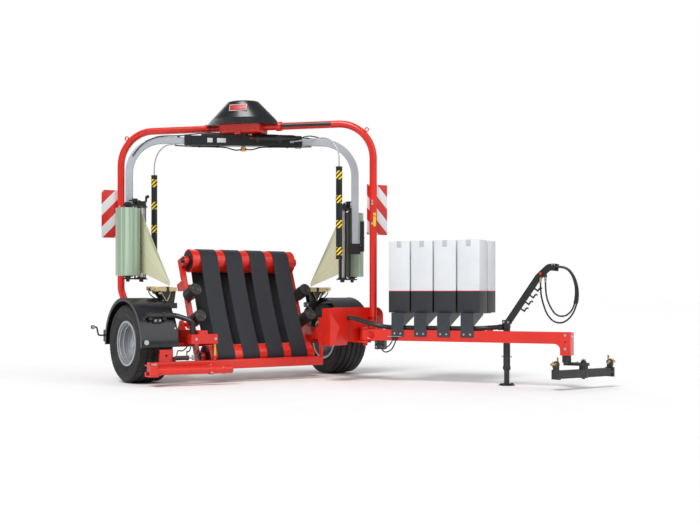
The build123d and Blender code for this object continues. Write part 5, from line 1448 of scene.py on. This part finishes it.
@dataclass
class Cutters(Assembly):
    """Springs, cams and hoses of the film cutters."""

    at: Pair = (0.05, 0.95)
    jaws: Pair = (-0.055, 0.055)
    coils: int = 9
    coil_pitch: float = 0.0095
    spring_y: float = 0.03
    pad_bolts: Numbers = (0.02, 0.08, 0.14)
    wheel: Pair = (0.195, 1.012)
    wheel_radius: float = 0.02
    braces: Pairs = ((-0.02, 0.055), (0.16, 0.065))
    brace_radius: float = 0.011
    hose_radius: float = 0.006

    def jaw(self, shape: Shape, dx: float, sign: int) -> None:
        """Adds the pad, wheel, bolts and links of one jaw.

        Args:
            shape: Shape that takes them.
            dx: Place of the jaw along the machine.
            sign: Sign of the side.
        """
        way = 1 if dx > 0 else -1
        shape.box((dx - 0.016, 0.0, 1.0295), (dx + 0.016, sign * 0.12, 1.0345), 0, 0.0015)
        y, z = sign * self.wheel[0], self.wheel[1]
        shape.rod((dx - 0.019, y, z), (dx + 0.019, y, z), self.wheel_radius, 0, 28, bevel=0.002)
        shape.bolt((dx + way * 0.019, y, z), (way, 0, 0), 0.009, 1)
        for dy in self.pad_bolts:
            shape.bolt((dx + way * 0.017, sign * dy, 1.007), (way, 0, 0), 0.007, 1)
        link = dx * 0.95
        shape.rod((link, sign * 0.01, 0.985), (link, sign * 0.055, 0.875), 0.006, 0, 12)
        shape.rod((link, sign * 0.13, 0.985), (link, sign * 0.07, 0.88), 0.006, 1, 12)

    def brace(self, shape: Shape, dx: float, sign: int) -> None:
        """Adds the braces, the block and the cap beside one jaw.

        Args:
            shape: Shape that takes them.
            dx: Place of the jaw along the machine.
            sign: Sign of the side.
        """
        for top_y, low_y in self.braces:
            top, low = (dx * 1.25, sign * top_y, 0.99), (dx * 0.75, sign * low_y, 0.86)
            shape.rod(top, low, self.brace_radius, 2, 16)
        shape.box((dx - 0.02, sign * 0.04, 0.984), (dx + 0.02, sign * 0.075, 1.0375), 2, 0.003)
        shape.collar(0.0, 0.017, 0.0, 0.02, (dx * 1.3, sign * 0.15, 0.955), UP, 0, 20)

    def middle(self, shape: Shape, sign: int) -> None:
        """Adds the coil spring, the small ram and its hose between the jaws.

        Args:
            shape: Shape that takes them.
            sign: Sign of the side.
        """
        for turn in range(self.coils):
            height = 0.885 + turn * self.coil_pitch
            shape.turned([(0.011, height), (0.0145, height + 0.003), (0.011, height + 0.006)],
                         (0, sign * self.spring_y, 0), UP, 1, 18)
        for low_y, low, top_y, top, radius, paint, sides in (
                (self.spring_y, 0.86, self.spring_y, 0.98, 0.007, 1, 12),
                (0.08, 0.865, 0.125, 0.975, 0.015, 2, 24),
                (0.115, 0.95, 0.14, 0.998, 0.007, 1, 16),
                (0.215, 1.007, 0.245, 1.007, 0.012, 2, 6)):
            shape.rod((0, sign * low_y, low), (0, sign * top_y, top), radius, paint, sides)
        shape.pipe([(0, sign * 0.24, 1.007), (0, sign * 0.262, 0.99), (0.01, sign * 0.22, 0.93),
                    (0.015, sign * 0.12, 0.88), (0.02, sign * 0.05, 0.865)], self.hose_radius, 3)

    def build(self) -> None:
        """Builds both cutters' fittings."""
        for side in Side:
            sign = side.value
            shape = Shape(Matrix.Translation((-sign * self.at[0], sign * self.at[1], 0.0)))
            for dx in self.jaws:
                self.jaw(shape, dx, sign)
            self.middle(shape, sign)
            for dx in self.jaws:
                self.brace(shape, dx, sign)
            shape.box((-0.03, sign * 0.16, 0.965), (0.03, sign * 0.2, 1.0), 2, 0.004)
            for x in (0.035, -0.035):
                shape.bolt((x, -sign * 0.061, 0.83), (0, -sign, 0), 0.009, 1)
            self.made(shape, f"cutter_fittings_{side.word}", "chassis", "brass",
                      "yellow_zinc", "zinc_plate", "black_enamel", "hose_rubber")


@dataclass
class FrontGear(Assembly):
    """Fittings of the front bar, the cover box and the loading arm."""

    arm_pivot: Point = (0.665, -1.42, 0.165)
    arm_end: Point = (0.82, -0.6, 0.165)
    arm_radius: float = 0.0442
    ram_x: float = 0.572
    ram_z: float = 0.284
    barrel: Pairs = (
        (0.0, 0.0), (0.016, 0.0), (0.024, 0.006), (0.024, 0.13), (0.027, 0.134), (0.027, 0.156),
        (0.0, 0.156))
    ram_hose: float = 0.0065
    collar_along: float = 0.6
    collar_angles: tuple[int, ...] = (0, 120, 240)
    gussets: Pairs = ((-1.31, -1.292), (-1.178, -1.16))

    def chassis_side(self) -> None:
        """Adds bolts, two gussets, the box's seam, a yellow strip and the pivot's nut."""
        shape = Shape()
        shape.box((1.114, 0.3445, 0.4), (1.2735, 0.3462, 0.8), 0, 0.0005)
        for low, high in self.gussets:
            shape.box((0.532, low, 0.2495), (0.5515, high, 0.33), 0, 0.003)
        for y in (0.72, 1.12):
            shape.bolt((1.1137, y, 0.77), AHEAD, 0.009, 0)
        for sign in SIGNS:
            for dy in (0.70, 0.93):
                shape.bolt((0.6405, sign * dy, 0.48), AHEAD, 0.011, 1)
            shape.bolt((0.6005, sign * 0.686, 0.28), AHEAD, 0.009, 0)
        shape.box((0.6003, -0.697, 0.3), (0.6011, -0.675, 0.42), 2, 0.0002)
        x, y, z = self.arm_pivot
        shape.rod((x, y, z + 0.06), (x, y, z + 0.078), 0.03, 1, 6)
        self.made(shape, "front_fittings", "chassis", "red_paint",
                  "red_enamel", "zinc_plate", "yellow_enamel")

    def ram(self) -> None:
        """Builds the small ram behind the front bar with its hoses."""
        x, z = self.ram_x, self.ram_z
        shape = Shape()
        shape.turned(self.barrel, (x, -1.145, z), LEFTWARDS, 0, 32)
        shape.rod((x, -0.992, z), (x, -0.93, z), 0.0105, 1, 20)
        shape.rod((x, -0.93, 0.26), (x, -0.93, 0.31), 0.017, 1, 24, bevel=0.002)
        shape.box((x - 0.02, -1.165, 0.245), (x + 0.02, -1.14, 0.3), 0, 0.004)
        for y in (-1.12, -1.005):
            shape.rod((x, y, 0.303), (x, y, 0.322), 0.009, 2, 6)
        shape.pipe([(x, -1.12, 0.322), (0.56, -1.11, 0.37), (0.52, -1.03, 0.35), (0.5, -0.97, 0.39),
                    (0.48, -0.93, 0.43)], self.ram_hose, 3)
        shape.pipe([(x, -1.005, 0.322), (0.56, -1.0, 0.36), (0.53, -0.97, 0.34), (0.5, -0.93, 0.36),
                    (0.47, -0.9, 0.42)], self.ram_hose, 3)
        self.made(shape, "swing_ram", "chassis", "black_paint",
                  "black_enamel", "zinc_plate", "yellow_zinc", "hose_rubber")

    def arm(self) -> None:
        """Closes the loading arm's end and adds its collars."""
        start, end = Vector(self.arm_pivot), Vector(self.arm_end)
        way = (end - start).normalized()
        shape = Shape()
        shape.turned([(0.0, 0.0), (0.03, -0.001), (0.041, -0.006), (0.0445, -0.016), (0.0445, -0.06),
                      (0.047, -0.064), (0.047, -0.1), (self.arm_radius, -0.104)],
                     end - way * 0.004, way, 0, 40)
        collar = start + way * self.collar_along
        shape.band(self.arm_radius, 0.051, 0.03, 0.026, collar, way, 0, 40)
        for angle in self.collar_angles:
            out = Vector(UP)
            out.rotate(Matrix.Rotation(math.radians(angle), 3, way))
            shape.bolt(collar + out * 0.0505, out, 0.008, 1)
        shape.band(self.arm_radius, 0.05, 0.01, 0.006, start + way * 0.056, way, 0, 40)
        self.made(shape, "loading_arm_collars", "loader", "red_paint", "red_enamel", "zinc_plate")

    def build(self) -> None:
        """Builds the front's pieces."""
        self.chassis_side()
        self.ram()
        self.arm()


@dataclass
class DrawbarTrim(Assembly):
    """Boss, bolts, harness, cartons, jack and hitch fittings of the drawbar."""

    length: float = 2.313
    half: float = 0.05
    top: float = 0.57
    boss: Pair = (0.085, 0.51)
    end_bolt_x: float = 2.262
    end_bolt_zs: Pair = (0.4, 0.54)
    rib_angles: tuple[int, ...] = (45, 135, 225, 315)
    rack_face: float = -0.0587
    carton_start: float = 0.288
    carton_pitch: float = 0.266
    carton_size: float = 0.25
    carton_near: float = -0.017
    carton_low: float = 0.755
    carton_height: float = 0.775
    carton_columns: int = 4
    carton_rows: int = 2
    harness_near: Route = ((1.19, 0.64, 0.69), (1.2, 0.7, 0.688), (1.245, 0.77, 0.66))
    harness_far: Route = (
        (0.15, -0.02, 0.615), (0.24, -0.012, 0.592), (0.4, -0.01, 0.588), (0.8, -0.01, 0.588),
        (1.2, -0.01, 0.588), (1.37, 0.0, 0.592), (1.45, 0.035, 0.599), (1.536, 0.098, 0.605))
    harness_radius: float = 0.021
    strand_radius: float = 0.008
    strands: Pairs = ((0.022, 0.006), (-0.021, 0.008), (0.012, 0.021), (-0.01, 0.022))
    crank_z: float = 0.585
    pin_reach: float = 0.4
    valve_hose: float = 0.007
    valve_hoses: tuple[Route, ...] = (
        ((0.16, -0.058, 0.42), (0.17, -0.1, 0.41), (0.25, -0.12, 0.37), (0.32, -0.1, 0.385),
         (0.35, -0.075, 0.43), (0.36, -0.0565, 0.47)),
        ((0.215, -0.058, 0.38), (0.235, -0.09, 0.36), (0.29, -0.11, 0.32), (0.36, -0.095, 0.35),
         (0.39, -0.075, 0.42), (0.4, -0.0565, 0.48)))
    plugs: Pairs = ((0.16, 0.38), (0.16, 0.42), (0.215, 0.38))
    jack_bolts: Pair = (0.468, 0.552)
    foot_ring: Pairs = ((0.0286, 0.0078), (0.0325, 0.0078), (0.0286, 0.0098))

    def bar(self) -> None:
        """Adds the root boss, a step plate, an end cap and bolts."""
        shape = Shape(Frame.DRAWBAR)
        for sign in SIGNS:
            shape.turned([(0.0, 0.0), (0.036, 0.0), (0.04, sign * 0.002), (0.047, sign * 0.006), (0.05, 0.0)],
                         (self.boss[0], sign * self.half, self.boss[1]), LEFTWARDS, 0, 40)
        x = self.end_bolt_x
        for z in self.end_bolt_zs:
            shape.bolt((x, -0.0622, z), RIGHTWARDS, 0.0105, 1)
        shape.rod((x, -0.0618, 0.47), (x, -0.0626, 0.47), 0.009, 2)
        for index in range(self.carton_columns):
            centre = self.carton_start + self.carton_size / 2 + index * self.carton_pitch
            for dx in (-0.035, 0.035):
                shape.bolt((centre + dx, self.rack_face, 0.53), RIGHTWARDS, 0.0085, 1)
        shape.box((1.42, -0.028, self.top), (1.47, 0.028, self.top + 0.012), 0, 0.003)
        shape.rod((self.length + 0.0035, 0.0, 0.52), (self.length + 0.007, 0.0, 0.52), 0.022, 1, 24)
        self.made(shape, "drawbar_fittings", "drawbar", "red_paint",
                  "red_enamel", "zinc_plate", "black_matt_plastic")

    def valve(self) -> None:
        """Adds plugs and short hoses under the drawbar's root."""
        shape = Shape(Frame.DRAWBAR)
        for x, z in self.plugs:
            shape.rod((x, -0.042, z), (x, -0.06, z), 0.011, 1, 6)
        for x in (0.15, 0.225):
            shape.bolt((x, 0.0, 0.3535), DOWN, 0.008, 1)
        for route in self.valve_hoses:
            shape.pipe(route, self.valve_hose, 0)
        shape.box((0.345, -0.066, 0.468), (0.415, -0.0505, 0.496), 2, 0.003)
        shape.rod((0.3, -0.062, 0.497), (0.46, -0.062, 0.497), 0.004, 1, 12)
        self.made(shape, "valve_fittings", "drawbar", "black_plastic",
                  "hose_rubber", "zinc_plate", "black_matt_plastic")

    def harness(self) -> None:
        """Lays the hose bundle from the cover box along the drawbar."""
        near = [Vector(point) for point in self.harness_near]
        far = [Frame.DRAWBAR @ Vector(point) for point in self.harness_far]
        shape = Shape()
        shape.pipe([*near, *far], self.harness_radius, 0)
        for offset, rise in self.strands:
            aside = Vector((0.0, offset, rise))
            shape.pipe([point + aside for point in (*near, *far)], self.strand_radius, 0)
        piece = self.made(shape, "hose_harness", None, "hose_rubber", "hose_rubber")
        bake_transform(piece)

    def carton(self, shape: Shape, x: float, y: float) -> None:
        """Builds one carton with its flaps and tape.

        Args:
            shape: Shape that takes it.
            x: Where it starts along the drawbar.
            y: Where it starts across the drawbar.
        """
        low, top = self.carton_low + 0.0005, self.carton_low + self.carton_height
        end_x, end_y, middle = x + self.carton_size, y + self.carton_size, x + self.carton_size / 2
        shape.box((x + 0.001, y + 0.001, low), (end_x - 0.001, end_y - 0.001, top - 0.0035), 0, 0.004)
        for first, last in ((x + 0.002, middle - 0.0012), (middle + 0.0012, end_x - 0.002)):
            shape.box((first, y + 0.002, top - 0.005), (last, end_y - 0.002, top - 0.0008), 0, 0.0008)
        first, last = middle - 0.026, middle + 0.026
        shape.box((first, y + 0.0006, top - 0.0015), (last, end_y - 0.0006, top - 0.0002), 1, 0.0003)
        shape.box((first, y + 0.0001, top - 0.07), (last, y + 0.0014, top - 0.002), 1, 0.0003)

    def cartons(self) -> None:
        """Builds the two rows of cartons."""
        shape = Shape(Frame.DRAWBAR)
        for index in range(self.carton_columns):
            for row in range(self.carton_rows):
                x = self.carton_start + index * self.carton_pitch
                self.carton(shape, x, self.carton_near + row * self.carton_pitch)
        self.made(shape, "carton_stack", "drawbar", "carton", "carton_print", "carton_tape",
                  stands_for=("film_cartons",))

    def jack_parts(self) -> None:
        """Adds the jack's collars, pin, crank and hose block, and the leg's foot ribs."""
        x, y = JACK
        z = self.crank_z
        shape = Shape(Frame.DRAWBAR)
        for outer, low, high in ((0.041, 0.17, 0.2), (0.04, 0.6, 0.636)):
            shape.collar(0.0365, outer, low, high, (x, y, 0), UP, 0, 36)
        shape.rod((x - 0.055, y, 0.3), (x + 0.055, y, 0.3), 0.007, 1, 16)
        shape.box((x - 0.0815, y - 0.035, 0.578), (x - 0.0368, y + 0.035, 0.6385), 0, 0.004)
        shape.rod((x, y + 0.036, z), (x, y + 0.062, z), 0.013, 0, 20)
        shape.rod((x, y + 0.058, z), (x - 0.11, y + 0.058, z), 0.007, 0, 16)
        shape.rod((x - 0.108, y + 0.05, z), (x - 0.108, y + 0.12, z), 0.011, 0, 20, bevel=0.002)
        for height in self.jack_bolts:
            shape.bolt((x - 0.03, 0.0512, height), LEFTWARDS, 0.006, 1)
        self.made(shape, "jack_fittings", "drawbar", "black_paint", "black_enamel", "zinc_plate")
        foot = Shape(Frame.DRAWBAR)
        for angle in self.rib_angles:
            turn = Matrix.Translation((x, y, 0)) @ Matrix.Rotation(math.radians(angle), 4, "Z")
            foot.box((0.0435, -0.004, 0.0075), (0.078, 0.004, 0.0235), 0, 0.0015, turn)
        foot.turned(self.foot_ring, (x, y, 0), UP, 0, 32)
        self.made(foot, "jack_foot_ribs", "jack", "black_paint", "black_enamel")

    def hitch(self) -> None:
        """Adds the swivel's nut and the link pins' clips."""
        centre = Frame.DRAWBAR @ Vector((self.length + 0.12, 0.0, 0.0))
        x = centre.x
        shape = Shape()
        shape.rod((x, centre.y, 0.295), (x, centre.y, 0.303), 0.022, 0, 6)
        shape.rod((x - 0.024, centre.y, 0.29), (x + 0.024, centre.y, 0.29), 0.003, 0, 10)
        for along in (2.27, 2.36):
            for across in (0.035, -0.035):
                shape.bolt(Frame.DRAWBAR @ Vector((along, across, 0.2642)), UP, 0.01, 0)
        self.made(shape, "yoke_bolts", "drawbar", "black_paint", "zinc_plate")
        pins = Shape()
        for sign in SIGNS:
            end = centre.y + sign * self.pin_reach
            pins.rod((x, end + sign * 0.038, 0.23), (x, end + sign * 0.038, 0.294), 0.004, 0, 12)
            pins.band(0.0145, 0.0205, 0.004, 0.003, (x, end - sign * 0.0445, 0.262), LEFTWARDS, 1, 32)
            clip = end - sign * 0.035
            pins.box((x - 0.012, clip - 0.003, 0.286), (x + 0.012, clip + 0.003, 0.33), 0, 0.002)
            for dx in (-0.036, 0.036):
                pins.bolt((x + dx, end - sign * 0.0245, 0.16), (0, -sign, 0), 0.008, 1)
        self.made(pins, "link_pin_clips", "hitch", "zinc", "yellow_zinc", "zinc_plate")

    def build(self) -> None:
        """Builds the drawbar's pieces."""
        self.bar()
        self.valve()
        self.harness()
        self.cartons()
        self.jack_parts()
        self.hitch()


@dataclass
class HoseSet(Assembly):
    """The two hanging hoses, their couplings and the rack's fittings."""

    offset: float = 0.021
    radius: float = 0.009
    lengths: Pair = (1.27, 1.1)
    block_low: float = 1.1275
    block_top: float = 1.1515
    outer: Pairs = (
        (0.5303, 1.236), (0.625, 1.236), (0.705, 1.165), (0.752, 1.05), (0.762, 0.92), (0.733, 0.8),
        (0.675, 0.705), (0.592, 0.655), (0.502, 0.672), (0.434, 0.752), (0.396, 0.86), (0.37, 0.968),
        (0.37, 1.072))
    inner: Pairs = (
        (0.5303, 1.236), (0.62, 1.236), (0.692, 1.16), (0.73, 1.04), (0.73, 0.915), (0.698, 0.8),
        (0.628, 0.728), (0.53, 0.728), (0.462, 0.815), (0.41, 0.95), (0.41, 1.082))
    hook_shares: Numbers = (0.34, 0.49, 0.64, 0.79)
    hook_radius: float = 0.0075
    rack_foot: Pair = (0.017, 0.664)
    rack_run: Pair = (0.323, 0.466)
    ring_shares: Numbers = (0.36, 0.46, 0.56)
    head_bolts: Pair = (0.495, 0.52)
    foot_bolts: Pair = (-0.025, 0.025)

    def coupling(self, shape: Shape, x: float, y: float, low: float, shell: int) -> None:
        """Adds one quick coupling in the rack's block.

        Args:
            shape: Shape that takes it.
            x: Distance ahead of the jack.
            y: Place across the drawbar.
            low: Height of its lower end.
            shell: Index of its sleeve's finish.
        """
        at = (JACK[0] + x, y, 0.0)
        rise, cap = self.block_low - low, self.block_top
        shape.turned([(0.0, low), (0.0105, low), (0.0105, low + rise * 0.24), (0.0135, low + rise * 0.26),
                      (0.0135, low + rise * 0.8), (0.011, low + rise * 0.84), (0.011, self.block_low),
                      (0.0, self.block_low)], at, UP, shell, 32)
        for share in self.ring_shares:
            z = low + rise * share
            shape.turned([(0.0132, z - 0.002), (0.0146, z), (0.0132, z + 0.002)], at, UP, shell, 32)
        shape.turned([(0.0, cap), (0.0125, cap), (0.0145, 1.156), (0.0145, 1.176), (0.011, 1.181),
                      (0.0, 1.181)], at, UP, 2, 32)

    def hoses(self) -> None:
        """Lays both hoses with their sleeves and couplings."""
        ends = Shape(Frame.DRAWBAR)
        for name, sign, route, length, shell in (("outer", -1, self.outer, self.lengths[0], 0),
                                                 ("inner", 1, self.inner, self.lengths[1], 1)):
            y = JACK[1] + sign * self.offset
            places = [Vector((JACK[0] + x, y, z)) for x, z in route]
            points = [MACHINE + (Frame.DRAWBAR @ place) for place in places]
            curve = smooth_line(f"hose_{name}", points, self.radius, 4, 10)
            curve.materials.append(self.finishes["hose_rubber"])
            hose = bpy.data.objects.new(f"hose_{name}", curve)
            bpy.context.scene.collection.objects.link(hose)
            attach(hose, "drawbar")
            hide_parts(f"hose_loop_{name}")
            sleeve = Shape(Frame.DRAWBAR)
            sleeve.pipe([*places[:5], (places[4] + places[5]) / 2], self.radius + 0.004, 0)
            sheath = self.made(sleeve, f"hose_sleeve_{name}", "drawbar", "hose_rubber", "hose_rubber")
            log.info("hose %s is laid", name)
            self.coupling(ends, route[-1][0], y, route[-1][1], shell)
        self.made(ends, "coupling_sleeves", "drawbar", "zinc", "yellow_zinc", "zinc_plate", "red_cap_plastic",
                  stands_for=("hose_couplings",))

    def rack(self) -> None:
        """Adds the rack's bolts and the turned-up ends of its hooks."""
        x, y = JACK
        shape = Shape(Frame.DRAWBAR)
        for dx in self.head_bolts:
            for sign in SIGNS:
                shape.bolt((x + dx, y + sign * 0.0352, 1.256), (0, sign, 0), 0.005, 0)
        for sign in SIGNS:
            for dx in self.foot_bolts:
                shape.bolt((x + dx, y + sign * 0.0302, 0.662), (0, sign, 0), 0.008, 0)
        foot, way = Vector(self.rack_foot), Vector(self.rack_run)
        along = way.normalized()
        out = Vector((along.y, -along.x))
        for share in self.hook_shares:
            tip = foot + way * share + out * 0.078 + along * 0.026
            line = [tip, tip + along * 0.014 - out * 0.001, tip + along * 0.024 + out * 0.009,
                    tip + along * 0.016 + out * 0.022]
            shape.pipe([(x + point.x, y, point.y) for point in line], self.hook_radius, 1)
        self.made(shape, "rack_bolts", "drawbar", "black_paint", "zinc_plate", "black_enamel")

    def build(self) -> None:
        """Builds the hoses, couplings and rack fittings."""
        self.hoses()
        self.rack()


@dataclass
class Studio:
    """Pale floor, soft light and the camera."""

    eye: Point = (11.05, -6.25, 0.947)
    sight: Point = (-0.819, 0.574, 0.0)
    lens: float = 56.6
    rise: float = 0.047
    sensor: float = 36.0
    sight_end: float = 600.0
    floor_half: float = 170.0
    sky: float = 0.34
    backdrop: float = 0.66
    suns: tuple[tuple[str, Point, float, float], ...] = (
        ("key", (4.0, -6.0, 8.5), 2.5, 26.0), ("fill", (8.0, 4.5, 5.0), 0.75, 45.0),
        ("rim", (-7.0, 1.5, 7.0), 0.55, 40.0))

    def floor(self) -> None:
        """Lays the pale floor."""
        recipe = Recipe("pale_floor")
        speck = recipe.noise(recipe.place(), 3.0, 3.0)
        recipe.set(Base_Color=recipe.blend(speck, (0.86, 0.86, 0.86), (0.9, 0.9, 0.9)), Roughness=0.8)
        sheet = bmesh.new()
        bmesh.ops.create_grid(sheet, x_segments=2, y_segments=2, size=self.floor_half)
        data = bpy.data.meshes.new("studio_floor")
        sheet.to_mesh(data)
        sheet.free()
        data.materials.append(recipe.material)
        floor = bpy.data.objects.new("studio_floor", data)
        bpy.context.scene.collection.objects.link(floor)

    def lights(self) -> None:
        """Hangs the soft lights and sets the world."""
        for name, at, strength, spread in self.suns:
            lamp = bpy.data.lights.new(name, "SUN")
            lamp.energy = strength
            lamp.angle = math.radians(spread)
            holder = bpy.data.objects.new(name, lamp)
            holder.rotation_euler = (-Vector(at)).to_track_quat("-Z", "Y").to_euler()
            bpy.context.scene.collection.objects.link(holder)
        world = bpy.data.worlds.new("studio_world")
        world.use_nodes = True
        tree = world.node_tree
        ray = tree.nodes.new("ShaderNodeLightPath")
        seen = Shade(tree, ray.outputs["Is Camera Ray"]) + Shade(tree, ray.outputs["Is Transmission Ray"])
        strength = seen * self.backdrop + self.sky
        background = tree.nodes["Background"]
        background.inputs["Color"].default_value = (1.0, 1.0, 1.0, 1.0)
        tree.links.new(strength.socket, background.inputs["Strength"])
        bpy.context.scene.world = world

    def camera(self) -> None:
        """Sets the camera at the photograph's angle."""
        lens = bpy.data.cameras.new("photo_camera")
        lens.lens = self.lens
        lens.sensor_width = self.sensor
        lens.shift_y = self.rise
        lens.clip_end = self.sight_end
        holder = bpy.data.objects.new("photo_camera", lens)
        holder.location = Vector(self.eye) + MACHINE
        holder.rotation_euler = Vector(self.sight).to_track_quat("-Z", "Y").to_euler()
        bpy.context.scene.collection.objects.link(holder)
        bpy.context.scene.camera = holder
        bpy.context.scene.view_settings.view_transform = "Standard"

    def build(self) -> None:
        """Sets up floor, lights and camera."""
        self.floor()
        self.lights()
        self.camera()


def main() -> None:
    """Builds the looks in order."""
    logging.basicConfig(level=logging.INFO, format="%(message)s")
    finishes = Finishes()
    Dressing(finishes).dress()
    for assembly in (Wheels, Guards, ArchTrim, Satellites, TableTrim, Cutters, FrontGear, DrawbarTrim,
                     HoseSet):
        assembly(finishes).build()
    Studio().build()


if __name__ == "__main__":
    main()
